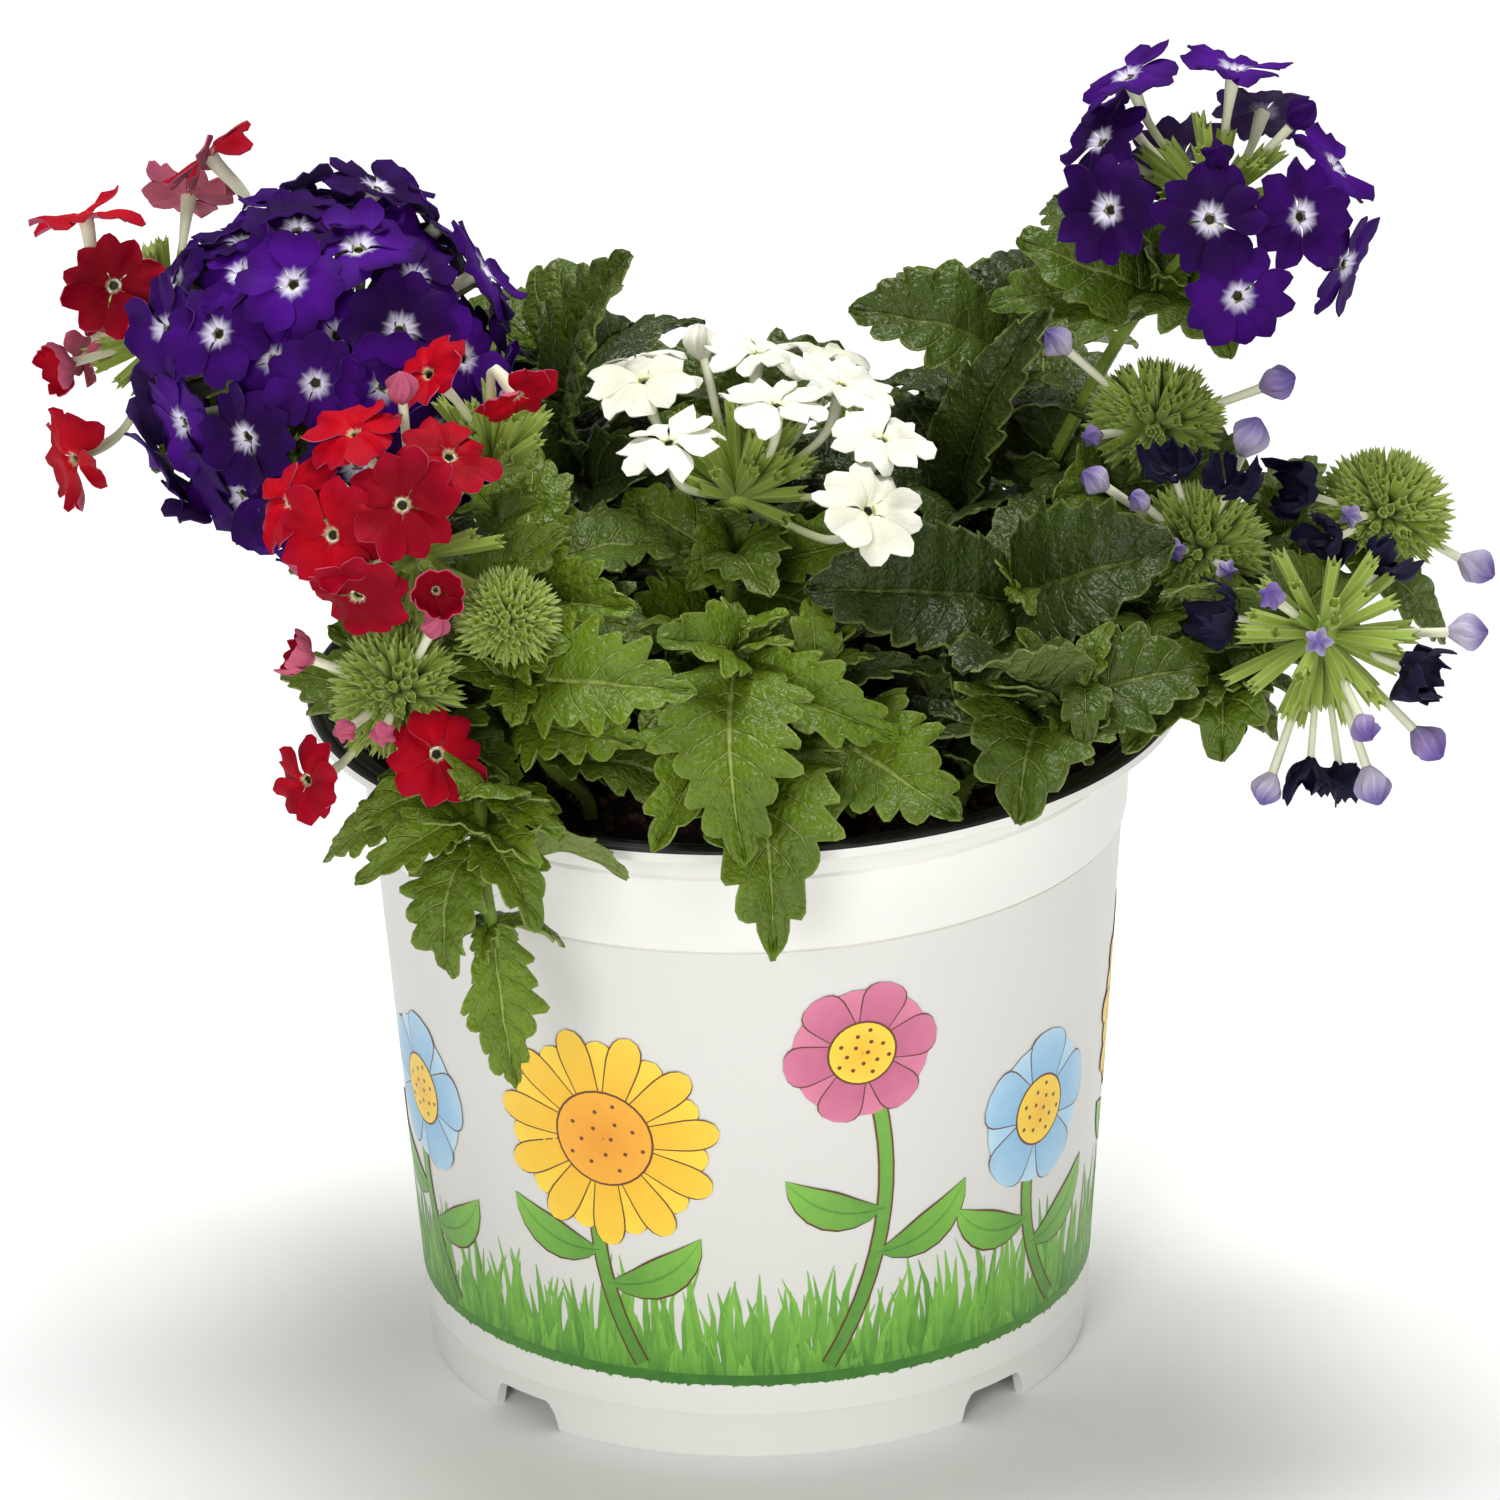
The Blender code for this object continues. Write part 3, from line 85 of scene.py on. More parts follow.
# Each stem: how old its leaves are (0 young and bright, 1 old and deep green), its points from
# the compost up, the leaves seen in the photograph (how far along the stem, tip, width, arch,
# roll) and the pairs that follow the opposite-leaf rule.
STEMS = {
    "stem_white": Stem(
        0.30,
        ((-4, -30, 146), (-3, -31, 160), (-3, -32, 176), (-2, -35, 192), (-1, -35, 202)),
        (
            Leaf(0.82, (-25, -24, 206), 15, 3, -40),
            Leaf(0.82, (30, -47, 204), 14, 3, 50),
            Leaf(0.80, (-12, -62, 198), 14, 6, -40),
            Leaf(0.56, (-30, -62, 194), 18, 5, -55),
        ),
        (Pair(0.52, 34, 17),),
    ),
    "stem_purple_left": Stem(
        0.55,
        ((-34, 18, 146), (-42, 24, 158), (-58, 28, 182), (-74, 22, 202), (-80, 17, 212)),
        (Leaf(0.66, (-98, 8, 176), 22, 6, -35), Leaf(0.84, (-52, 50, 214), 18, 5, 25)),
        (Pair(0.45, 40, 24),),
    ),
    "stem_red_far_left": Stem(
        0.45,
        ((-46, 36, 146), (-64, 46, 158), (-92, 56, 184), (-112, 54, 202), (-120, 51, 211)),
        (Leaf(0.9, (-130, 24, 206), 12, 3, -40), Leaf(0.9, (-118, 80, 214), 12, 3)),
        (Pair(0.4, 42, 22), Pair(0.66, 34, 17)),
    ),
    "stem_red_front": Stem(
        0.30,
        ((-42, -36, 146), (-48, -46, 160), (-58, -58, 184), (-65, -66, 202)),
        (Leaf(0.86, (-36, -66, 214), 14, 4, 50), Leaf(0.6, (-88, -44, 184), 18, 5, -45)),
        (Pair(0.45, 32, 17),),
    ),
    "stem_red_upper": Stem(
        0.25,
        ((-30, -32, 146), (-38, -40, 162), (-47, -48, 190), (-52, -48, 215)),
        (
            Leaf(0.74, (-22, -78, 200), 19, 6, 50),
            Leaf(0.74, (-27, -62, 208), 17, 5, 60),
            Leaf(0.92, (-41, -62, 216), 9, 3, 60),
            Leaf(0.78, (-44, -18, 214), 16, 4),
        ),
        (Pair(0.42, 30, 15),),
    ),
    "stem_red_low": Stem(
        0.30,
        ((-52, -52, 146), (-60, -64, 158), (-68, -78, 172), (-72, -86, 181)),
        (Leaf(0.7, (-98, -50, 176), 16, 5, -35),),
        (Pair(0.55, 26, 13),),
    ),
    "stem_green_bud_left": Stem(
        0.10,
        ((-34, -52, 146), (-42, -64, 160), (-49, -80, 182), (-49, -88, 196)),
        (
            Leaf(0.84, (-10, -100, 190), 21, 5, 45),
            Leaf(0.66, (-21, -97, 177), 16, 4, 45),
            Leaf(0.92, (-35, -88, 198), 11, 3, 45),
        ),
        (),
    ),
    "stem_trailing_left": Stem(
        0.15,
        (
            (-44, -60, 146),
            (-49, -70, 156),
            (-54, -84, 166),
            (-56, -98, 162),
            (-55, -104, 148),
            (-53, -105, 136),
        ),
        (
            Leaf(0.93, (-50, -106, 104), 15, 2, 35),
            Leaf(0.72, (-62, -112, 132), 17, 5, 10),
            Leaf(0.7, (-44, -116, 144), 13, 5),
            Leaf(0.56, (-82, -92, 158), 15, 5, -40),
            Leaf(0.58, (-90, -86, 146), 10, 8, -45),
            Leaf(0.62, (-77, -102, 142), 10, 7, -35),
        ),
        (),
    ),
    "stem_front_centre": Stem(
        0.18,
        ((0, -52, 146), (-1, -58, 160), (-1, -68, 178), (-2, -76, 189)),
        (
            Leaf(0.92, (-1, -108, 154), 25, 11),
            Leaf(0.6, (5, -112, 138), 27, 15),
            Leaf(0.97, (-19, -92, 196), 14, 4, -50),
            Leaf(0.9, (33, -88, 183), 15, 6, 45),
            Leaf(0.66, (-20, -104, 156), 22, 12, -20),
            Leaf(0.99, (7, -97, 197), 12, 4, 40),
        ),
        (Pair(0.5, 26, 15),),
    ),
    "stem_front_right": Stem(
        0.42,
        ((20, -50, 146), (17, -58, 160), (16, -66, 174), (16, -70, 182)),
        (
            Leaf(0.74, (21, -104, 158), 24, 6, 5),
            Leaf(0.6, (45, -96, 163), 24, 6, 35),
            Leaf(0.9, (-4, -60, 178), 15, 3, -40),
        ),
        (),
    ),
    "stem_right_mid": Stem(
        0.92,
        ((36, -34, 146), (45, -38, 162), (54, -43, 180), (59, -46, 192)),
        (
            Leaf(0.95, (94, -64, 194), 28, 5, 55),
            Leaf(0.9, (12, -62, 192), 24, 4, -55),
            Leaf(0.72, (26, -84, 180), 26, 6, -45),
            Leaf(0.95, (66, -24, 204), 18, 5),
        ),
        (Pair(0.42, 34, 20),),
    ),
    "stem_right_low": Stem(
        0.78,
        ((46, -50, 146), (55, -64, 160), (66, -80, 174), (71, -88, 186)),
        (
            Leaf(0.68, (56, -112, 164), 27, 10, -10),
            Leaf(0.72, (90, -106, 163), 27, 9, 35),
            Leaf(0.80, (98, -80, 180), 20, 6, 40),
            Leaf(0.97, (70, -101, 176), 9, 4),
            Leaf(0.97, (63, -90, 195), 7, 2),
            Leaf(0.9, (76, -72, 190), 10, 3),
        ),
        (),
    ),
    "stem_spent_right": Stem(
        0.35,
        ((54, -36, 146), (70, -44, 158), (92, -54, 170), (110, -62, 178), (118, -67, 184)),
        (
            Leaf(0.7, (100, -78, 163), 17, 6),
            Leaf(0.72, (90, -88, 180), 15, 5, -35),
            Leaf(0.62, (112, -44, 158), 19, 6, 45),
            Leaf(0.84, (104, -40, 186), 13, 4),
        ),
        (Pair(0.42, 36, 21),),
    ),
    "stem_arch_left": Stem(
        0.90,
        ((-14, -4, 146), (-20, -6, 160), (-28, -6, 184), (-36, 0, 208), (-38, 4, 216)),
        (
            Leaf(0.9, (-9, -8, 246), 25, 5, 50),
            Leaf(0.9, (-48, 26, 238), 22, 5, -15),
            Leaf(0.66, (-18, -30, 209), 20, 6, 60),
            Leaf(0.74, (-52, -22, 208), 18, 5, -45),
            Leaf(0.95, (-24, 26, 232), 20, 5, 20),
        ),
        (Pair(0.42, 38, 22),),
    ),
    "stem_arch_right": Stem(
        0.95,
        ((30, 6, 146), (35, 2, 160), (46, -4, 186), (53, 2, 212), (57, 8, 226)),
        (
            Leaf(0.97, (24, 2, 236), 21, 6, -40),
            Leaf(0.62, (70, -12, 243), 15, 6, 80),
            Leaf(0.62, (32, 24, 206), 25, 6, -20),
            Leaf(0.8, (72, 26, 204), 24, 6, 45),
            Leaf(0.96, (64, 34, 236), 17, 5),
        ),
        (Pair(0.4, 38, 22),),
    ),
    "stem_purple_right": Stem(
        0.62,
        ((44, 12, 146), (54, 14, 164), (68, 12, 198), (82, 8, 226), (94, 4, 244), (100, 2, 252)),
        (
            Leaf(0.8, (60, 0, 252), 20, 5, -45),
            Leaf(0.78, (59, -14, 238), 16, 5, -40),
            Leaf(0.8, (98, -24, 232), 21, 5, 15),
            Leaf(0.82, (70, 36, 252), 18, 5, -25),
            Leaf(0.8, (108, 30, 236), 19, 5, 35),
        ),
        (Pair(0.5, 44, 24),),
    ),
    "stem_bud_right_upper": Stem(
        0.50,
        ((52, -8, 146), (60, -10, 160), (74, -12, 188), (85, -10, 202)),
        (Leaf(0.86, (66, -38, 206), 17, 4, -50), Leaf(0.84, (110, 12, 200), 18, 4, 40)),
        (Pair(0.5, 38, 21),),
    ),
    "stem_bud_right_mid": Stem(
        0.45,
        ((50, -22, 146), (62, -28, 158), (82, -36, 174), (93, -38, 185)),
        (Leaf(0.66, (74, -62, 168), 19, 5),),
        (Pair(0.8, 28, 15),),
    ),
    "stem_bud_right_outer": Stem(
        0.45,
        ((60, 4, 146), (76, 6, 158), (104, 2, 170), (126, -3, 180), (134, -5, 184)),
        (Leaf(0.86, (152, 8, 154), 13, 4, 50), Leaf(0.72, (124, 28, 190), 16, 5)),
        (Pair(0.5, 38, 21),),
    ),
    "stem_back_left": Stem(
        0.65,
        ((-22, 42, 146), (-30, 58, 162), (-40, 76, 182), (-44, 86, 200)),
        (Leaf(0.97, (-26, 90, 210), 19, 5), Leaf(0.97, (-66, 104, 204), 19, 5)),
        (Pair(0.55, 44, 25),),
    ),
    "stem_back_centre": Stem(
        0.75,
        ((2, 24, 146), (2, 34, 160), (0, 44, 178), (-2, 48, 192)),
        (Leaf(0.97, (24, 60, 204), 21, 5, 25), Leaf(0.97, (-30, 62, 204), 21, 5, -25)),
        (Pair(0.38, 44, 25), Pair(0.74, 40, 22)),
    ),
    "stem_back_right": Stem(
        0.60,
        ((26, 42, 146), (36, 56, 160), (50, 72, 178), (56, 82, 194)),
        (Leaf(0.97, (36, 104, 206), 19, 5), Leaf(0.97, (88, 92, 200), 19, 5)),
        (Pair(0.55, 44, 25),),
    ),
}

# Each head: receptacle, axis, core radius, open florets (eye, facing, radius), buds and
# withered florets (place, radius) and the green calyces that radiate from the core.
HEADS = {
    "bloom_purple_left": Head(
        (-87, -6, 228), (-0.25, -0.80, 0.55), 14, "dome", (), (), Needles(0, 0, 0, 0)
    ),
    "bloom_red_far_left": Head(
        (-124, 50, 216),
        (-0.6, -0.2, 0.77),
        4,
        (
            Floret((-141, 40, 248), (-0.15, 0.30, 0.94), 13.5),
            Floret((-114, 44, 260), (-0.65, 0.20, 0.74), 13),
            Floret((-135, 30, 235), (-0.1, -0.95, 0.3), 12),
            Floret((-146, 38, 192), (-0.75, -0.6, -0.1), 12.5),
            Floret((-143, 60, 212), (-0.9, 0.1, 0.1), 11),
            Floret((-120, 74, 240), (0.1, 0.8, 0.6), 12),
        ),
        (((-148, 34, 215), 4.5), ((-139, 44, 214), 3.5)),
        (),
        Needles(9, 17, 0, 75),
    ),
    "bloom_red_front": Head(
        (-68, -70, 210),
        (-0.25, -0.70, 0.67),
        5,
        (
            Floret((-70, -94, 231), (0.05, -0.86, 0.5), 13),
            Floret((-85, -95, 225), (-0.4, -0.85, 0.35), 12.5),
            Floret((-94, -82, 228), (-0.6, -0.5, 0.6), 12),
            Floret((-60, -84, 238), (0.3, -0.5, 0.8), 12),
            Floret((-80, -98, 212), (-0.35, -0.85, -0.35), 12),
            Floret((-80, -80, 242), (-0.4, -0.3, 0.87), 11.5),
        ),
        (((-70, -76, 250), 3.5), ((-63, -104, 215), 4), ((-92, -70, 210), 3.5)),
        (),
        Needles(7, 16, 20, 95),
    ),
    "bloom_red_upper": Head(
        (-52, -48, 221),
        (0.0, -0.2, 0.98),
        3.5,
        (
            Floret((-46, -62, 242), (0.45, -0.5, -0.45), 10),
            Floret((-65, -62, 248), (-0.5, -0.5, 0.7), 10.5),
        ),
        (),
        (),
        Needles(9, 14, 0, 62),
    ),
    "bloom_red_low": Head(
        (-72, -88, 187),
        (-0.35, -0.65, 0.6),
        6,
        (
            Floret((-64, -106, 180), (0.25, -0.85, 0.4), 11.5),
            Floret((-92, -100, 172), (-0.6, -0.75, 0.1), 10),
        ),
        (
            ((-93, -89, 196), 4.2),
            ((-83, -107, 186), 2.6),
            ((-75, -109, 186), 2.8),
            ((-64, -99, 206), 3.2),
        ),
        (),
        Needles(FACETS, 9, 0, 105),
    ),
    "bloom_green_bud_left": Head(
        (-49, -90, 203), (0.0, -0.5, 0.86), 4, (), (), (), Needles(FACETS, 7, 0, 100)
    ),
    "bloom_white": Head(
        (-1, -35, 208),
        (0.0, -0.1, 1.0),
        4,
        (
            Floret((-20, -28, 233), (-0.18, -0.10, 0.98), 13),
            Floret((-15, -54, 229), (-0.12, -0.22, 0.97), 12.5),
            Floret((8, -44, 233), (0.05, -0.15, 0.98), 12.5),
            Floret((4, -18, 235), (0.06, 0.05, 0.99), 13),
            Floret((22, -28, 231), (0.25, -0.05, 0.97), 12.5),
            Floret((30, -48, 226), (0.32, -0.20, 0.93), 11.5),
            Floret((27, -66, 217), (0.42, -0.55, 0.72), 13.5),
            Floret((-22, -8, 230), (-0.25, 0.25, 0.94), 11.5),
            Floret((18, -4, 230), (0.20, 0.30, 0.93), 12),
        ),
        (((-8, -10, 234), 4),),
        (),
        Needles(11, 17, 8, 62),
    ),
    "bloom_purple_right": Head(
        (102, 0, 259),
        (0.1, -0.35, 0.93),
        5,
        (
            Floret((79, -18, 265), (-0.5, -0.80, 0.35), 13),
            Floret((100, -28, 266), (-0.05, -0.92, 0.38), 13.5),
            Floret((106, -27, 248), (0.1, -0.92, 0.1), 12.5),
            Floret((120, -19, 263), (0.5, -0.8, 0.35), 12.5),
            Floret((130, -9, 248), (0.78, -0.6, -0.1), 12.5),
            Floret((78, -5, 276), (-0.65, -0.35, 0.67), 12),
            Floret((84, 5, 287), (-0.35, -0.1, 0.93), 12.5),
            Floret((81, 20, 276), (-0.6, 0.4, 0.7), 12),
            Floret((107, 9, 287), (0.15, 0.1, 0.98), 12.5),
            Floret((128, 4, 266), (0.75, -0.05, 0.66), 12),
            Floret((114, 24, 272), (0.3, 0.75, 0.6), 12),
            Floret((96, 28, 260), (-0.15, 0.95, 0.25), 12.5),
        ),
        (((121, 3, 278), 3.6), ((102, -19, 277), 3.6), ((124, 20, 254), 3.4)),
        (),
        Needles(7, 14, 0, 70),
    ),
    "bloom_bud_right_upper": Head(
        (89, -8, 212),
        (-0.05, -0.30, 0.95),
        5.5,
        (),
        (((68, -14, 234), 3.6), ((115, -12, 223), 3.8), ((75, -24, 216), 2.4)),
        (),
        Needles(FACETS, 10, 0, 100),
    ),
    "bloom_bud_right_mid": Head(
        (97, -38, 195),
        (0.05, -0.45, 0.88),
        5.5,
        (),
        (
            ((75, -42, 213), 3.2),
            ((84, -47, 210), 2.6),
            ((74, -50, 204), 4),
            ((91, -58, 203), 2.6),
            ((102, -57, 198), 2.4),
            ((108, -34, 219), 4.2),
        ),
        (((91, -42, 216), 5), ((104, -44, 213), 5)),
        Needles(FACETS, 10, 0, 100),
    ),
    "bloom_bud_right_outer": Head(
        (138, -5, 189),
        (0.2, -0.25, 0.94),
        5.5,
        (),
        (((130, -25, 197), 2.6), ((158, -8, 178), 4)),
        (((119, -18, 200), 6), ((125, -27, 192), 5.5)),
        Needles(FACETS, 10, 0, 100),
    ),
    "bloom_spent_right": Head(
        (121, -72, 189),
        (0.15, -0.80, -0.1),
        4.5,
        (),
        (
            ((109, -86, 160), 3.4),
            ((129, -95, 177), 3.2),
            ((131, -88, 161), 4),
            ((143, -80, 167), 4),
            ((152, -70, 188), 4),
            ((110, -88, 204), 3),
            ((119, -101, 199), 3),
        ),
        (
            ((118, -84, 162), 5),
            ((125, -76, 158), 5),
            ((141, -78, 182), 6),
            ((100, -75, 195), 5.5),
            ((135, -63, 201), 5),
        ),
        Needles(13, 17, 20, 110),
    ),
}


# The pot's wall and the compost, as in the part's source.
RIM_RADIUS, POT_HEIGHT = 95.0, 152.0
SHOULDER_RADIUS, SHOULDER_Z = 84.0, 143.0
WALL_RADIUS, WALL = 73.2, 1.5
FLOOR_LOW, FLOOR_TOP = 7.5, 9.3
FOOT_RADIUS = 72.2
SOIL_TOP, SOIL_RELIEF, GAP = 142.5, 1.6, 0.35
ROOT_Z = 127.0

# Rules that place the leaves, as in the part's source.
STEM_STEP = 24.0
STEM_ROOT_RADIUS, STEM_TIP_RADIUS = 1.9, 1.25
TUBE_BEND, PETAL_DROOP = 0.35, 0.10
CLEARANCE, SAMPLE = 2.3, 2.6
DOME_FLORETS, DOME_RADIUS, DOME_LAYER, DOME_FLORET = 18, 38.0, 2.4, 16.4
DOME_EDGE = math.radians(106)

# The material slots of a stem's foliage, a head's petals and a head's green parts.
LEAF_LOOK, STEM_LOOK, HAIR_LOOK = 0, 1, 2
PETAL_LOOK, TUBE_LOOK, CALYX_LOOK = 0, 0, 1


# Gathering a piece's mesh.


class Form:
    """Points in mm, faces and painted values gathered for one mesh."""

    def __init__(self):
        self.points, self.paint, self.faces, self.looks, self.count = [], [], [], [], 0

    def add(self, points, faces, paint=(0, 0, 0, 0), look=0):
        """Adds a closed shape, painted all over or point by point."""
        points = np.asarray(points, float).reshape(-1, 3)
        paint = np.broadcast_to(np.asarray(paint, float), (len(points), 4))
        self.faces += [[i + self.count for i in face] for face in faces]
        self.looks += [look] * len(faces)
        self.points.append(points)
        self.paint.append(paint)
        self.count += len(points)


def piece(name, form, looks, slot, nodes=(), smooth=60):
    """A visible piece from a form: it rides on the plant and stands for its solids."""
    mesh = bpy.data.meshes.new(name)
    mesh.from_pydata((np.concatenate(form.points) * MM).tolist(), [], form.faces)
    paint = mesh.attributes.new("grown", "FLOAT_COLOR", "POINT")
    paint.data.foreach_set("color", np.concatenate(form.paint).astype(np.float32).ravel())
    for look in looks:
        mesh.materials.append(look)
    mesh.polygons.foreach_set("material_index", form.looks)
    mesh.shade_smooth()
    mesh.set_sharp_from_angle(angle=math.radians(smooth))
    mesh.update()
    obj = bpy.data.objects.new(name, mesh)
    bpy.context.scene.collection.objects.link(obj)
    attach(obj, BODY)
    if nodes:
        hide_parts(*nodes)
    return obj


def ring_faces(low, high, count):
    """The faces between two rings of points, given by their first indices."""
    return [
        (low + k, low + (k + 1) % count, high + (k + 1) % count, high + k) for k in range(count)
    ]


def loft(form, rings, paint=(0, 0, 0, 0), look=0):
    """A closed skin over rings of points, each turning right-handed about the way ahead."""
    rings = np.asarray(rings, float)
    count, around = rings.shape[:2]
    faces = [tuple(range(around))[::-1]]
    for i in range(count - 1):
        faces += ring_faces(i * around, (i + 1) * around, around)
    faces.append(tuple(range((count - 1) * around, count * around)))
    paint = np.asarray(paint, float)
    if paint.ndim == 3:
        paint = paint.reshape(-1, 4)
    form.add(rings, faces, paint, look)


def sheet(form, grid, thickness, paint, look=0):
    """A thin closed sheet about a grid of points, its underside marked in the paint."""
    grid = np.asarray(grid, float)
    rows, columns = grid.shape[:2]
    ahead, across = np.gradient(grid, axis=0), np.gradient(grid, axis=1)
    normal = np.cross(ahead, across)
    size = np.linalg.norm(normal, axis=2, keepdims=True)
    normal = normal / np.maximum(size, 1e-9)
    under = rows * columns
    faces = []
    for i in range(rows - 1):
        for j in range(columns - 1):
            a, b = i * columns + j, (i + 1) * columns + j
            faces.append((a, b, b + 1, a + 1))
            faces.append((under + a, under + a + 1, under + b + 1, under + b))
    edge = [i * columns for i in range(rows)]
    edge += [(rows - 1) * columns + j for j in range(1, columns)]
    edge += [i * columns + columns - 1 for i in range(rows - 2, -1, -1)]
    edge += list(range(columns - 2, 0, -1))
    for p, q in zip(edge, edge[1:] + edge[:1]):
        faces.append((q, p, under + p, under + q))
    top, low = grid + normal * thickness / 2, grid - normal * thickness / 2
    paint = np.asarray(paint, float).reshape(-1, 4)
    beneath = paint.copy()
    beneath[:, 3] = 1
    form.add(
        np.concatenate([top.reshape(-1, 3), low.reshape(-1, 3)]),
        faces,
        np.concatenate([paint, beneath]),
        look,
    )


def painted(along, across, tone, under=0.0):
    """Paint for a grid: the way along, the way across, a tone and the side."""
    along, across = np.broadcast_arrays(along, across)
    return np.stack(
        [along, across, np.full(along.shape, float(tone)), np.full(along.shape, float(under))], -1
    )


# Curves and frames shared by stems, leaves and flowers.


def spline(points, step):
    """Catmull-Rom points through the given ones, about a step apart."""
    knots = [Vector(p) for p in points]
    knots = [2 * knots[0] - knots[1], *knots, 2 * knots[-1] - knots[-2]]
    out = [knots[1]]
    for a, b, c, d in zip(knots, knots[1:], knots[2:], knots[3:]):
        pieces = max(1, round((c - b).length / step))
        for i in range(1, pieces + 1):
            t = i / pieces
            out.append(
                0.5
                * (
                    2 * b
                    + (c - a) * t
                    + (2 * a - 5 * b + 4 * c - d) * t**2
                    + (3 * b - 3 * c + d - a) * t**3
                )
            )
    return out


def sideways(direction):
    """A unit vector square to the direction, level where it can be."""
    side = direction.cross(UP)
    if side.length > 0.05:
        return side.normalized()
    return direction.cross(Vector((0, 1, 0))).normalized()


def floret_frame(facing, spin=0.0):
    """Two unit vectors across a flower's face."""
    side = Quaternion(facing, spin) @ sideways(facing)
    return side, facing.cross(side)


def rings_along(path, sections, side=None, twist=0.0):
    """Rings of points about a path: a row of (angle, radius) for each place on it."""
    rings = []
    side = side or sideways(path[1] - path[0])
    for i, (place, section) in enumerate(zip(path, sections)):
        ahead = (path[min(i + 1, len(path) - 1)] - path[max(i - 1, 0)]).normalized()
        side = (side - ahead * side.dot(ahead)).normalized()
        other = ahead.cross(side)
        turns = section[:, 0] + twist * i
        around = np.outer(np.cos(turns) * section[:, 1], side)
        around += np.outer(np.sin(turns) * section[:, 1], other)
        rings.append(np.array(place) + around)
    return rings


def round_section(radius, sides, ribs=0, depth=0.0):
    """Angles and radii of one ring, with ribs round it."""
    turns = np.arange(sides) * (math.tau / sides)
    return np.stack([turns, radius * (1 + depth * np.cos(ribs * turns))], 1)


def spiral(axis, count, nearest, furthest):
    """Directions spread evenly over a cap round the axis, between two angles."""
    side, other = floret_frame(axis)
    near, far = math.cos(nearest), math.cos(furthest)
    for i in range(count):
        height = near + (far - near) * (i + 0.5) / count
        flat = math.sqrt(1 - height * height)
        turn = GOLDEN_TURN * i
        yield axis * height + (side * math.cos(turn) + other * math.sin(turn)) * flat


def shingled(ways):
    """A layer (-1, 0 or 1) for each direction, so that near neighbours lie in other layers."""
    layers = []
    for way in ways:
        nearest = {-1: 4.0, 0: 4.0, 1: 4.0}
        for other, layer in zip(ways, layers):
            nearest[layer] = min(nearest[layer], way.angle(other))
        layers.append(max(nearest, key=nearest.get))
    return layers


# Heads and stems as points that the leaves keep clear of.


def dome_florets(head):
    """The dome's florets as its solid has them: eye, facing, radius."""
    centre, axis = Vector(head.at), Vector(head.axis).normalized()
    ways = list(spiral(axis, DOME_FLORETS, 0, DOME_EDGE))
    return [
        (centre + way * (DOME_RADIUS + layer * DOME_LAYER), way, DOME_FLORET)
        for way, layer in zip(ways, shingled(ways))
    ]


def florets_of(head):
    """The open florets of a head: eye, facing, radius and spin."""
    if head.florets == "dome":
        found = dome_florets(head)
    else:
        found = [(Vector(f.eye), Vector(f.facing).normalized(), f.size) for f in head.florets]
    return [(eye, facing, size, GOLDEN_SPIN * i) for i, (eye, facing, size) in enumerate(found)]


def flower_path(centre, eye, facing):
    """A floret's middle line: out from the receptacle, in along its facing."""
    bend = eye - facing * ((eye - centre).length * TUBE_BEND)
    return [centre, centre.lerp(bend, 0.9), eye]


def needle_ends(head):
    """The feet and tips of a head's own calyces."""
    centre, axis = Vector(head.at), Vector(head.axis).normalized()
    plan = head.needles
    count = FACET_COUNT if plan.count is FACETS else plan.count
    cap = spiral(axis, count, math.radians(plan.nearest), math.radians(plan.furthest))
    for i, way in enumerate(cap):
        length = head.core + plan.length * (0.92 + 0.08 * (i % 3))
        yield centre + way * (head.core * 0.4), centre + way * length


def head_samples(head):
    """Points over a head's pieces, for the clearance of leaves."""
    centre, axis = Vector(head.at), Vector(head.axis).normalized()
    out = [centre + way * head.core for way in spiral(axis, 40, 0, math.pi)]
    ends = [(eye, facing) for eye, facing, _, _ in florets_of(head)]
    for place, size in (*head.buds, *head.spent):
        eye = Vector(place)
        facing = (eye - centre).normalized()
        ends.append((eye, facing))
        out += [eye + way * size * 0.9 for way in spiral(facing, 10, 0, math.pi)]
    for eye, facing in ends:
        out += spline(flower_path(centre, eye, facing), SAMPLE)
    for foot, tip in needle_ends(head):
        out += spline((foot, tip), SAMPLE)
    for eye, facing, size, spin in florets_of(head):
        side, other = floret_frame(facing, spin)
        for reach in (0.35, 0.62, 0.9):
            for k in range(round(18 * reach)):
                turn = math.tau * k / round(18 * reach)
                across = side * math.cos(turn) + other * math.sin(turn)
                fall = facing * (PETAL_DROOP * size * reach**2)
                out.append(eye + across * (size * reach) - fall)
    return out


def stem_path(stem, step=STEM_STEP):
    """The stem's points, straight up out of the compost first."""
    foot = Vector(stem.points[0])
    return [Vector((foot.x, foot.y, ROOT_Z)), *spline(stem.points, step)]


def stem_radii(path):
    """The stem's radius at each point of its path."""
    last = len(path) - 1
    return [
        STEM_ROOT_RADIUS + (STEM_TIP_RADIUS - STEM_ROOT_RADIUS) * i / last for i in range(last + 1)
    ]


def on_path(path, share):
    """The place and direction a share of the way along a stem's path."""
    spot = min(share, 0.999) * (len(path) - 1)
    i = int(spot)
    step = path[i + 1] - path[i]
    return path[i] + step * (spot - i), step.normalized()


def stem_samples(path):
    """Points round a stem, for the clearance of leaves."""
    radii = stem_radii(path)
    out = []
    for a, b, radius in zip(path, path[1:], radii):
        ahead = (b - a).normalized()
        side, other = floret_frame(ahead)
        steps = max(1, round((b - a).length / SAMPLE))
        for i in range(steps):
            place = a.lerp(b, i / steps)
            out += [place + side * radius, place - side * radius]
            out += [place + other * radius, place - other * radius]
    return out


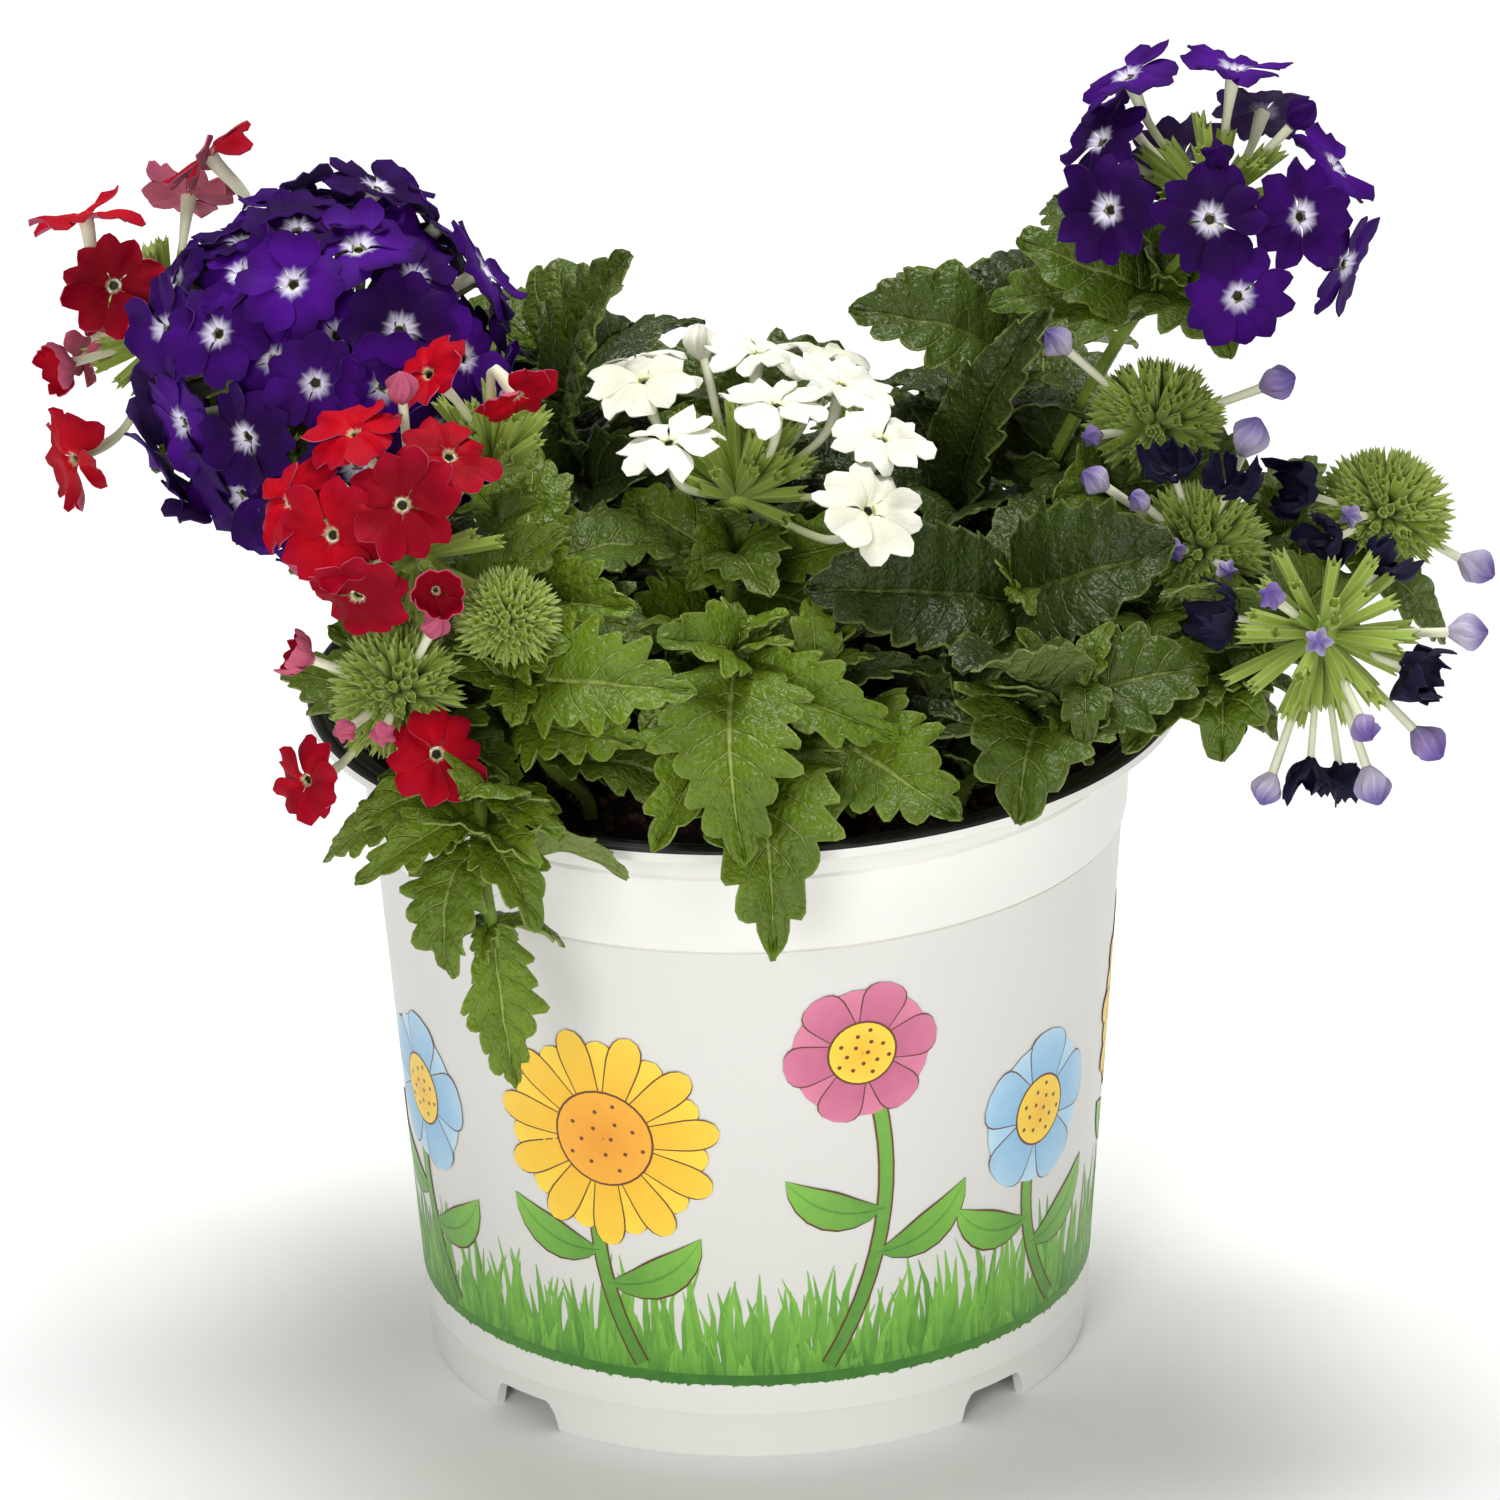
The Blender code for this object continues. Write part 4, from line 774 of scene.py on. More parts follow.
def wall_clear(point):
    """Whether a leaf's point keeps clear of the pot's wall and the compost."""
    radius = math.hypot(point.x, point.y)
    outside = radius > RIM_RADIUS + 2.0
    above = point.z > POT_HEIGHT + 2.0
    inside = radius < SHOULDER_RADIUS - 5.0 and point.z > SOIL_TOP + SOIL_RELIEF + 1.5
    return outside or above or inside


# Leaves: where each one lies.


def leaf_outline(t):
    """The half width of a verbena leaf, 1 at its widest, with a wedge-shaped foot."""
    return 0.10 * (1 - t) + math.sin(math.pi * t**0.82) ** 0.9 if 0 < t < 1 else 0.10 * (1 - t)


def leaf_frame(base, plan):
    """The start, the chord and the ways across and up of a leaf."""
    base, chord = Vector(base), Vector(plan.tip) - Vector(base)
    ahead = chord.normalized()
    side = Quaternion(ahead, math.radians(plan.roll)) @ sideways(ahead)
    lift = side.cross(ahead)
    if lift.z < 0 and plan.roll == 0:
        side, lift = -side, -lift
    return base, chord, side, lift


def leaf_samples(base, plan):
    """Points over a leaf, with the way along the leaf at each."""
    start, chord, side, lift = leaf_frame(base, plan)

    def middle(t):
        """The leaf's midline, from 0 at its base to 1 at its tip."""
        return start + chord * t + lift * (plan.arch * 4 * t * (1 - t))

    length = chord.length + plan.arch / 2
    rows, half = max(4, round(length / SAMPLE)), max(1, round(plan.width / 2 / SAMPLE))
    out = []
    for i in range(1, rows + 1):
        t = i / rows
        ahead = (middle(min(t + 0.01, 1)) - middle(max(t - 0.01, 0))).normalized()
        normal = side.cross(ahead).normalized()
        reach = plan.width / 2 * leaf_outline(t)
        spread = max(1, round(half * leaf_outline(t))) if t < 1 else 0
        for j in range(-spread, spread + 1):
            s = 1.1 * j / spread if spread else 0
            rise = reach * (0.30 * abs(s) - 0.22 * s * s)
            out.append((middle(t) + side * (s * reach) + normal * rise, t))
    return out


def pair_leaves(name, path, pairs):
    """Opposite leaves by rule: each pair across the stem, every other one a quarter turn on."""
    draw = random.Random(name)
    for i, pair in enumerate(pairs):
        base, ahead = on_path(path, pair.along)
        side = floret_frame(ahead, math.pi / 2 * i + draw.uniform(-0.4, 0.4))[0]
        for way in (side, -side):
            rise = ahead * 0.35 + UP * draw.uniform(0.05, 0.3)
            reach = (way + rise).normalized() * pair.length * draw.uniform(0.9, 1.1)
            yield Leaf(pair.along, base + reach, pair.width, pair.length * 0.14, 0.0)


def bent(base, plan, swing, lift):
    """The leaf lifted, then swung, by degrees about its base."""
    reach = Vector(plan.tip) - base
    turned = Quaternion(sideways(reach.normalized()), math.radians(lift)) @ reach
    turned = Quaternion(UP, math.radians(swing)) @ turned
    return plan._replace(tip=base + turned)


def bends(swings, lifts):
    """Pairs of a swing and a lift, the smallest first."""
    pairs = ((swing, lift) for swing in swings for lift in lifts)
    return sorted(pairs, key=lambda pair: abs(pair[0]) + abs(pair[1]))


SMALL_BENDS = bends((0, 7, -7, 14, -14, 21, -21), (0, 6, -6, 12, -12, 18, -18, 24))
WIDE_BENDS = bends((0, 15, -15, 30, -30, 45, -45), (0, 12, -12, 24, -20, 36))


class Room:
    """Placed points in cells, each listed in its neighbour cells too."""

    def __init__(self):
        self.cells = {}

    def fill(self, points, owner):
        """Adds points that a piece takes up."""
        for p in points:
            x, y, z = (int(c // CLEARANCE) for c in p)
            for i in (x - 1, x, x + 1):
                for j in (y - 1, y, y + 1):
                    for k in (z - 1, z, z + 1):
                        self.cells.setdefault((i, j, k), []).append((p[0], p[1], p[2], owner))

    def near(self, p, reach):
        """The owners of the points within the reach, which is at most the clearance."""
        px, py, pz = p
        most = reach * reach
        key = tuple(int(c // CLEARANCE) for c in p)
        for x, y, z, owner in self.cells.get(key, ()):
            if (x - px) ** 2 + (y - py) ** 2 + (z - pz) ** 2 <= most:
                yield owner


def leaf_fits(room, name, base, plan, reach=CLEARANCE, foot=0.25):
    """Whether a leaf clears the pot and, beyond its foot, all that is placed."""
    for place, t in leaf_samples(base, plan):
        if t > foot and not wall_clear(place):
            return False
        for owner in room.near(place, reach):
            if t > foot or owner != name:
                return False
    return True


def placed_leaves():
    """The leaves of every stem, each bent clear of what is placed before it and left out
    where there is no room: a list of (stem name, base, plan), and the room they leave."""
    room = Room()
    paths = {name: stem_path(stem) for name, stem in STEMS.items()}
    for name, head in HEADS.items():
        room.fill(head_samples(head), name)
    for name, path in paths.items():
        room.fill(stem_samples(path), name)
    wanted = []
    for name, stem in STEMS.items():
        wanted += [(name, plan, True) for plan in stem.leaves]
    for name, stem in STEMS.items():
        wanted += [(name, plan, False) for plan in pair_leaves(name, paths[name], stem.pairs)]
    out = []
    for name, plan, seen in wanted:
        base = on_path(paths[name], plan.along)[0]
        tries = (bent(base, plan, *bend) for bend in (SMALL_BENDS if seen else WIDE_BENDS))
        plan = next((each for each in tries if leaf_fits(room, name, base, each)), None)
        if plan:
            out.append((name, base, plan))
            room.fill([place for place, _ in leaf_samples(base, plan)], name)
    return out, room


# Leaves: their visible form.

# Leaves that close the canopy: places tried on each stem, the height they stay under, and the
# lengths tried at each place.
INNER_TRIES, CANOPY_TOP, INNER_LENGTHS = 26, 216.0, (38, 31, 24)
# The leaves' teeth, how much fuller than its plan a leaf is, and how far it bows sideways.
TOOTH_SPACING, FEWEST_TEETH, MOST_TEETH = 5.2, 4, 9
LEAF_FULLNESS, LEAF_BOW = 1.12, 0.08
# Rows of a leaf's grid to each tooth, and its columns: coarser where other leaves cover it.
OPEN_GRID, INNER_GRID, YOUNG_GRID = (5, 11), (4, 9), (4, 7)
SLIM_LEAF, SLIM_COLUMNS = 12, 7
STEM_SIDES, STEM_RIBS, RIB_DEPTH = 12, 4, 0.10
HAIR_RADIUS = 0.07


def tooth(phase):
    """The reach of a rounded tooth that leans forward, over one spacing, 0 to 1."""
    return np.sin(math.pi * (phase % 1.0) ** 1.35) ** 0.75


def leaf_form(form, base, plan, tone, grid_plan, draw, sizes):
    """One toothed, quilted leaf as a closed sheet: its veins lie in furrows from the midrib to
    each tooth and the surface between them swells."""
    start, chord, side, lift = (np.array(v) for v in leaf_frame(base, plan))
    length = np.linalg.norm(chord)
    teeth = int(np.clip(round(length / TOOTH_SPACING), FEWEST_TEETH, MOST_TEETH))
    rows = teeth * grid_plan[0] + 1
    columns = grid_plan[1] if plan.width > SLIM_LEAF else SLIM_COLUMNS
    t, s = np.meshgrid(np.linspace(0, 1, rows), np.linspace(-1, 1, columns), indexing="ij")
    reach = np.abs(s)
    notch = sizes.tooth_depth * (0.8 + 0.4 * draw.random()) * (1.35 - 0.85 * tone)
    fade = np.clip(t / 0.22, 0, 1) * np.clip((1.02 - t) / 0.12, 0.35, 1)
    rise = tooth(t * teeth) * (0.8 + 0.4 * np.sin(t * teeth * 2.4 + s + tone * 9))
    outline = 0.10 * (1 - t) + np.sin(math.pi * t**0.76).clip(0) ** (1.0 - 0.28 * tone)
    outline = np.maximum(outline, 0.03)
    spread = s * (1 + (rise - 0.55) * notch * fade * reach**2)
    forward = np.clip(t + 0.30 / teeth * rise * fade * reach**2.5, 0, 1)
    middle = start + chord * forward[..., None]
    bow = length * draw.uniform(-LEAF_BOW, LEAF_BOW)
    bend = (4 * forward * (1 - forward))[..., None]
    middle = middle + (lift * plan.arch + side * bow) * bend
    ahead = chord + lift * (plan.arch * 4 * (1 - 2 * forward))[..., None]
    ahead = ahead / np.linalg.norm(ahead, axis=-1, keepdims=True)
    normal = np.cross(side, ahead)
    normal = normal / np.linalg.norm(normal, axis=-1, keepdims=True)
    half = plan.width * LEAF_FULLNESS / 2 * outline
    phase = teeth * (t - 0.20 * reach) + 0.15
    quilt = np.abs(np.sin(math.pi * phase)) ** 0.7 - 0.55
    quilt = quilt * np.clip(reach / 0.15, 0, 1) * (1 - 0.4 * reach) * np.clip(t / 0.15, 0, 1)
    swell = sizes.vein_depth / MM * (0.9 + 0.4 * tone) * min(1.0, plan.width / 16)
    a, b, c = (draw.uniform(0, math.tau) for _ in range(3))
    ruffle = np.sin(t * 9 + a) * np.sin(s * 2.2 + b) * 0.8 + np.sin(t * 21 + s * 3 + c) * 0.3
    margin = np.sin(math.tau * t * teeth + a) * reach**3 * 0.7
    relief = half * (draw.uniform(0.32, 0.75) * reach - 0.26 * s * s)
    relief = relief + swell * quilt + (ruffle + margin) * plan.width / 22 * fade
    relief = relief - 0.45 * np.exp(-((s / 0.10) ** 2)) * np.clip(1.1 - t, 0, 1)
    grid = middle + side * (spread * half)[..., None] + normal * relief[..., None]
    paint = painted(phase, s, tone)
    sheet(form, grid[:, ::-1], sizes.leaf_thickness / MM, paint[:, ::-1], LEAF_LOOK)


def stem_form(form, path, radii, tone):
    """A square stem with a rib along each corner."""
    fine = spline(path, 3.0)
    last = len(fine) - 1
    root, tip = radii[0], radii[-1]
    sections = [
        round_section(root + (tip - root) * i / last, STEM_SIDES, STEM_RIBS, RIB_DEPTH)
        for i in range(last + 1)
    ]
    shares = np.linspace(0, 1, last + 1)
    paint = painted(*np.meshgrid(shares, np.zeros(STEM_SIDES), indexing="ij"), tone)
    loft(form, rings_along(fine, sections), paint, STEM_LOOK)


def hair_form(form, foot, way, length, width):
    """One stiff pale hair."""
    side, other = floret_frame(way)
    base = [
        foot + (side * math.cos(turn) + other * math.sin(turn)) * width
        for turn in (0, math.tau / 3, 2 * math.tau / 3)
    ]
    faces = [(2, 1, 0), (0, 1, 3), (1, 2, 3), (2, 0, 3)]
    form.add([*base, foot + way * length], faces, (0, 0, 0, 0), HAIR_LOOK)


def stem_hairs(form, path, radii, draw, sizes):
    """Hairs standing out from a stem."""
    length = sizes.hair_length / MM
    for a, b in zip(path[1:], path[2:]):
        ahead = (b - a).normalized()
        side, other = floret_frame(ahead)
        for _ in range(round((b - a).length * sizes.hairs_a_mm)):
            turn = draw.uniform(0, math.tau)
            way = side * math.cos(turn) + other * math.sin(turn)
            foot = a.lerp(b, draw.random()) + way * radii[-1]
            lean = (way + ahead * draw.uniform(-0.3, 0.3)).normalized()
            hair_form(form, foot, lean, length * draw.uniform(0.6, 1.1), HAIR_RADIUS)


def inner_leaves(room, name, path, draw):
    """Middle-sized leaves that close the canopy between the stems, where there is room."""
    for i in range(INNER_TRIES):
        share = 0.15 + 0.75 * (i + draw.random()) / INNER_TRIES
        base = on_path(path, share)[0]
        turn = GOLDEN_TURN * i
        way = Vector((math.cos(turn), math.sin(turn), draw.uniform(-0.25, 0.75))).normalized()
        for length in INNER_LENGTHS:
            tip = base + way * (length * draw.uniform(0.9, 1.1))
            width = length * draw.uniform(0.46, 0.60)
            plan = Leaf(share, tip, width, length * 0.14, draw.uniform(-25, 25))
            if tip.z < CANOPY_TOP and leaf_fits(room, name, base, plan, 1.3, 0.3):
                room.fill([place for place, t in leaf_samples(base, plan) if t > 0.3], name)
                yield base, plan
                break


def young_leaves(room, name, stem, path, draw):
    """Small young leaves in the axils and at the tip of a stem, where there is room."""
    shares = sorted({plan.along for plan in (*stem.leaves, *stem.pairs)})
    shares = [share for share in shares if share < 0.97] + [0.3, 0.93]
    for share in shares:
        base, ahead = on_path(path, share)
        side, other = floret_frame(ahead, draw.uniform(0, math.pi))
        for k in range(5):
            turn = math.tau * k / 5 + draw.uniform(-0.3, 0.3)
            way = side * math.cos(turn) + other * math.sin(turn)
            length = draw.uniform(11, 24) * (0.75 if share > 0.9 else 1.0)
            tip = base + (way + ahead * draw.uniform(0.3, 0.9)).normalized() * length
            plan = Leaf(share, tip, length * draw.uniform(0.42, 0.55), length * 0.12, 0.0)
            if leaf_fits(room, name, base, plan, 1.2, 0.35):
                room.fill([place for place, t in leaf_samples(base, plan) if t > 0.3], name)
                yield base, plan


# Flowers.

# Where open flowers of the purple dome show in the photograph: across and up from the dome's
# centre as seen from the camera, in mm.
DOME_SEEN = (
    (-6, 29),
    (7, 24),
    (31, 19),
    (-6, 16),
    (-22, 7),
    (16, 7),
    (-2, -4),
    (-31, -11),
    (-16, -14),
    (-26, -29),
    (-32, 8),
    (10, 36),
    (28, 1),
    (25, 32),
    (-8, 41),
    (-18, 20),
    (-31, 18),
    (-18, -26),
    (-37, -20),
    (-8, -29),
    (6, -20),
    (22, -14),
    (-2, -40),
)
# The room of a flower on the dome, its radius, and how far flowers sink between the others.
DOME_ROOM, DOME_SIZE, DOME_ROUGHNESS = 11.8, 13.2, 3.6

TUBE_SIDES = 10
BUD_RINGS, BUD_SIDES = 12, 25
# A bud's height along its axis and its radius, as shares of its size.
BUD_OUTLINE = (
    (-1.05, 0.26),
    (-0.80, 0.46),
    (-0.45, 0.72),
    (-0.05, 0.88),
    (0.30, 0.80),
    (0.65, 0.56),
    (0.90, 0.30),
    (1.08, 0.10),
)

# How a petal curls back or in (radians), waves, and how broad and notched it is.
PetalStyle = namedtuple("PetalStyle", "curl ruffle width notch columns")
FLAT = PetalStyle((-0.65, 0.30), 1.4, 0.36, 0.19, 9)
DOMED = PetalStyle((-0.60, 0.45), 1.5, 0.40, 0.17, 7)
HEART = PetalStyle((-0.85, 0.60), 1.9, 0.385, 0.19, 9)
BROAD = PetalStyle((-0.75, 0.15), 1.7, 0.35, 0.22, 9)
CUPPED = PetalStyle((1.2, 1.9), 1.0, 0.36, 0.12, 9)
WITHERED = PetalStyle((0.8, 3.2), 4.2, 0.34, 0.12, 9)


def petal_form(form, eye, facing, turn, size, style, tone, draw, order, sizes):
    """One notched petal: narrow at the throat, broad and ruffled at its end."""
    side, other = floret_frame(facing, turn)
    side, other, up = np.array(side), np.array(other), np.array(facing)
    rows, columns = style.columns + 2, style.columns
    t, s = np.meshgrid(np.linspace(0, 1, rows), np.linspace(-1, 1, columns), indexing="ij")
    throat = 0.085 * size
    notch = style.notch * draw.uniform(0.7, 1.3) * np.exp(-((s / 0.30) ** 2))
    lean = draw.uniform(-0.07, 0.07) * s
    run = (size * (1 + lean - notch - 0.30 * np.abs(s) ** 3.4) - throat) * t
    curl = draw.uniform(*style.curl)
    bend = np.where(np.abs(curl * t) < 1e-3, 1e-3, curl * t)
    out = throat + run * np.sin(bend) / bend
    height = run * (1 - np.cos(bend)) / bend
    swell = np.clip(t / 0.82, 0, 1)
    half = size * (0.080 + style.width * np.sin(swell * math.pi / 2) ** 1.8)
    half = half * draw.uniform(0.94, 1.04)
    a, b, c = (draw.uniform(0, math.tau) for _ in range(3))
    ruffle = 0.030 * np.sin(3.3 * s + a) * t + 0.028 * np.sin(7.5 * s + b) * t**2
    ruffle = ruffle + 0.018 * np.sin(6 * t + c) * (1 - s * s)
    height = height + size * style.ruffle * sizes.petal_ruffle * ruffle
    height = height + size * draw.uniform(-0.10, 0.10) * style.ruffle * s * t
    height = height + size * 0.03 * (order % 2)
    height = height - 1.3 * np.exp(-((t / 0.10) ** 2))
    grid = np.array(eye) + side * out[..., None] + other * (s * half)[..., None]
    grid = grid + up * height[..., None]
    paint = painted((throat + run) / size, s * half / size, tone)
    sheet(form, grid, sizes.petal_thickness / MM, paint, PETAL_LOOK)


def floret_form(form, eye, facing, size, spin, style, tone, draw, sizes):
    """Five petals round a throat."""
    for k in range(5):
        turn = spin + math.tau * k / 5 + draw.uniform(-0.07, 0.07)
        grown = size * draw.uniform(0.93, 1.03)
        petal_form(form, eye, facing, turn, grown, style, tone, draw, k, sizes)


def tube_form(form, centre, eye, facing, size, spent, draw):
    """The pale corolla tube from inside the calyx to the throat, widening at the top."""
    path = spline(flower_path(centre, eye, facing), 2.2)
    whole = (eye - centre).length
    first = next((i for i, p in enumerate(path) if (p - centre).length > 0.40 * whole), 1)
    path = path[max(first - 1, 0) :]
    last = len(path) - 1
    sections, shares = [], []
    for i in range(last + 1):
        share = i / last
        radius = 0.85 + 0.20 * share + (0.70 * max(0, share - 0.5) / 0.5 if size else 0)
        sections.append(round_section(radius * (0.8 if spent else 1), TUBE_SIDES, 5, 0.05))
        shares.append(share)
    rings = rings_along(path, sections)
    # The mouth turns inwards; its paint runs past 1 along, where the tube's finish paints shade.
    middle, down = rings[-1].mean(axis=0), np.array(facing)
    rings.append(middle + (rings[-1] - middle) * 0.62 - down * 0.1)
    rings.append(middle + (rings[-1] - middle) * 0.85 - down * 0.8)
    shares += [1.3, 1.6]
    paint = painted(*np.meshgrid(shares, np.zeros(TUBE_SIDES), indexing="ij"), draw.random())
    loft(form, rings, paint, TUBE_LOOK)


def calyx_form(form, path, widths, tone, teeth=5, tooth_length=1.6, flare=1.0):
    """A ribbed green calyx that ends in pointed teeth."""
    sides = teeth * 3
    last = len(path) - 1
    sections = [round_section(w, sides, teeth, 0.12) for w in widths]
    rings = rings_along(path, sections)
    ahead = np.array((path[-1] - path[-2]).normalized())
    mouth = rings[-1]
    middle = mouth.mean(axis=0)
    points = middle + (mouth - middle) * flare
    raised = np.cos(np.arange(sides) * (math.tau * teeth / sides)).clip(0)[:, None]
    rings.append(points + ahead * (raised * tooth_length))
    rings.append(middle + (mouth - middle) * 0.72 + ahead * (raised * tooth_length * 0.7))
    rings.append(middle + (mouth - middle) * 0.55 - ahead * 1.2)
    shares = np.array([*np.linspace(0, 0.85, last + 1), 1.0, 1.0, 0.9])
    # The way across is high on the ribs, where the finish paints light, and low in the furrows,
    # where it paints shade.
    turns = np.cos(np.arange(sides) * (math.tau * teeth / sides))
    paint = painted(*np.meshgrid(shares, turns, indexing="ij"), tone)
    loft(form, rings, paint, CALYX_LOOK)


def bud_form(form, eye, facing, size, tone, draw, under):
    """A closed bud: five petals folded round each other with a slight twist."""
    heights, widths = np.array(BUD_OUTLINE).T
    fine = np.linspace(heights[0], heights[-1], BUD_RINGS)
    path = [eye + facing * (size * height) for height in fine]
    widths = np.interp(fine, heights, widths)
    sections = [
        round_section(size * width, BUD_SIDES, 5, depth)
        for width, depth in zip(widths, np.linspace(0.06, 0.42, BUD_RINGS))
    ]
    phase = draw.uniform(0, math.tau)
    side = floret_frame(facing, phase)[0]
    shares = np.linspace(0.22, 1, BUD_RINGS)
    turns = np.cos(np.arange(BUD_SIDES) * (math.tau * 5 / BUD_SIDES))
    paint = painted(*np.meshgrid(shares, turns, indexing="ij"), tone, under)
    loft(form, rings_along(path, sections, side, 0.09), paint, PETAL_LOOK)


def view_axes():
    """The photograph's right, up and ahead, without its slight roll."""
    lean = math.radians(CAMERA_ELEVATION)
    right = Vector((1, 0, 0))
    return right, Vector((0, math.sin(lean), math.cos(lean))), Vector(
        (0, math.cos(lean), -math.sin(lean))
    )


def dome_visible(head, draw):
    """The dome's flowers as they show: those of the photograph, then others evenly between."""
    centre, axis = Vector(head.at), Vector(head.axis).normalized()
    right, up, ahead = view_axes()
    ways = []
    for across, rise in DOME_SEEN:
        flat = math.hypot(across, rise)
        deep = math.sqrt(max(0.0, DOME_RADIUS**2 - flat * flat))
        ways.append((right * across + up * rise - ahead * deep).normalized())
    least = DOME_ROOM / DOME_RADIUS
    for way in spiral(axis, 900, 0, DOME_EDGE):
        if all(way.angle(other) > least for other in ways):
            ways.append(way)
    found = []
    for way, layer in zip(ways, shingled(ways)):
        sunk = -1.6 if len(found) < len(DOME_SEEN) else draw.uniform(0.5, DOME_ROUGHNESS)
        place = centre + way * (DOME_RADIUS + layer * 1.2 - sunk)
        tilt = Vector([draw.uniform(-0.20, 0.20) for _ in range(3)])
        found.append((place, (way + tilt).normalized(), DOME_SIZE * draw.uniform(0.88, 1.05)))
    return found


def calyx_length(core, whole):
    """How far from the receptacle's centre the calyx of a flower of this length ends."""
    return min(14.0, 0.52 * whole) + core * 0.2


def flower_stalk(form, centre, eye, facing, head, draw, size, tone, spent=False):
    """The calyx and tube that carry one flower, its mouth wide where the flower has a size."""
    path = flower_path(centre, eye, facing)
    whole = (eye - centre).length
    reach = calyx_length(head.core, whole)
    way = (path[1] - centre).normalized()
    foot = centre + way * (head.core * 0.5)
    stops = [foot.lerp(centre + way * reach, share) for share in (0, 0.25, 0.5, 0.75, 1)]
    calyx_form(form, stops, (0.8, 1.2, 1.45, 1.6, 1.6), tone)
    tube_form(form, centre, eye - facing * 0.9, facing, size, spent, draw)


# Red buds above this radius are half open. The tone of a withered flower is past any live one.
HALF_OPEN, SPENT_TONE = 3.9, 2.0
PETAL_STYLES = {
    "bloom_purple_left": DOMED,
    "bloom_red_far_left": HEART,
    "bloom_red_front": HEART,
    "bloom_red_upper": HEART,
    "bloom_red_low": HEART,
    "bloom_white": BROAD,
    "bloom_purple_right": FLAT,
}


def head_forms(name, head, sizes):
    """The petals of a head and its green parts, as two forms."""
    draw = random.Random(name)
    petals, greens = Form(), Form()
    centre, axis = Vector(head.at), Vector(head.axis).normalized()
    style = PETAL_STYLES.get(name, FLAT)
    if head.florets == "dome":
        flowers = dome_visible(head, draw)
    else:
        flowers = [(eye, facing, size) for eye, facing, size, _ in florets_of(head)]
    for i, (eye, facing, size) in enumerate(flowers):
        tone = draw.random()
        spin = GOLDEN_SPIN * i if head.florets == "dome" else GOLDEN_SPIN * i - math.radians(18)
        floret_form(petals, eye, facing, size, spin, style, tone, draw, sizes)
        flower_stalk(greens, centre, eye, facing, head, draw, size, tone)
    for place, size in head.buds:
        eye = Vector(place)
        facing = (eye - centre).normalized()
        tone = draw.random()
        if size > HALF_OPEN and "red" in name:
            mouth = eye - facing * size * 0.6
            floret_form(petals, mouth, facing, size * 1.9, tone, CUPPED, tone, draw, sizes)
        else:
            mouth = eye - facing * size * 0.7
            bud_form(petals, eye, facing, size, tone, draw, 1.0 if "red" in name else 0.0)
        flower_stalk(greens, centre, mouth, facing, head, draw, 0, tone)
    for place, size in head.spent:
        eye = Vector(place)
        facing = (eye - centre).normalized()
        mouth = eye - facing * size * 0.4
        floret_form(petals, mouth, facing, size * 1.8, 0, WITHERED, SPENT_TONE, draw, sizes)
        flower_stalk(greens, centre, mouth, facing, head, draw, 0, 0.5, True)
    return petals, greens, centre, axis, draw


def own_calyces(form, head, axis, centre, draw, sizes):
    """The calyces that have no flower yet or no more: a dense dome or a few open ones."""
    plan = head.needles
    if plan.count is FACETS:
        for way in spiral(axis, sizes.dome_calyces, 0, math.radians(plan.furthest)):
            length = head.core + plan.length * draw.uniform(0.80, 1.0)
            way = (way + Vector([draw.uniform(-0.10, 0.10) for _ in range(3)])).normalized()
            stops = [centre + way * (length * share) for share in (0.25, 0.6, 0.92)]
            calyx_form(form, stops, (0.6, 1.3, 1.2), draw.random(), 3, 2.0, 0.9)
    else:
        crowd = plan._replace(count=round(plan.count * 1.7), length=plan.length * 0.85)
        for foot, tip in (*needle_ends(head), *needle_ends(head._replace(needles=crowd))):
            stops = [foot.lerp(tip, share) for share in (0, 0.3, 0.6, 0.94)]
            calyx_form(form, stops, (0.7, 1.1, 1.35, 1.4), draw.random())
    core = bmesh.new()
    bmesh.ops.create_icosphere(core, subdivisions=3, radius=head.core * 0.9)
    points = [centre + v.co for v in core.verts]
    faces = [tuple(v.index for v in face.verts) for face in core.faces]
    core.free()
    form.add(points, faces, (0.2, 0, 0.5, 0), CALYX_LOOK)


# Pot, print and compost.

# The pot's turned outline: radius and height, from the middle of the underside outwards, up the
# wall, over the ridged rim and down inside.
POT_OUTLINE = (
    (0, 0.0),
    (7.6, 0.0),
    (8.0, 0.4),
    (8.0, 7.5),
    (69.8, 7.5),
    (69.8, 0.4),
    (70.2, 0.0),
    (71.8, 0.0),
    (72.2, 0.4),
    (72.7, 6.2),
    (73.0, 10.0),
    (73.5, 11.0),
    (73.2, 12.0),
    (73.6, 18.0),
    (77.6, 70.5),
    (81.6, 122.6),
    (81.0, 122.8),
    (81.0, 123.3),
    (82.4, 123.6),
    (82.7, 125.0),
    (83.5, 140.1),
    (82.9, 140.7),
    (83.5, 141.5),
    (85.2, 144.6),
    (88.2, 146.8),
    (91.5, 148.0),
    (94.3, 148.6),
    (95.0, 149.2),
    (95.0, 151.1),
    (94.6, 151.7),
    (93.9, 152.0),
)
POT_INSIDE = (
    (93.4, 151.9),
    (92.9, 151.3),
    (92.2, 151.1),
    (91.6, 151.5),
    (90.9, 151.4),
    (90.4, 150.9),
    (89.7, 150.8),
    (89.0, 151.1),
    (88.4, 150.9),
    (87.9, 150.2),
    (86.4, 148.3),
    (84.0, 145.6),
    (82.5, 143.0),
    (80.4, 124.0),
    (79.9, 122.5),
    (71.7, 9.3),
    (0, 9.3),
)
# The film on the wall: its lower and upper edge, its radius there and halfway between.
PRINT_LOW, PRINT_HIGH = 18.0, 122.6
FILM_LOW, PRINT_RADIUS, FILM_HIGH = 73.6, 77.6, 81.6
WALL_TAPER = (FILM_HIGH - FILM_LOW) / (PRINT_HIGH - PRINT_LOW)
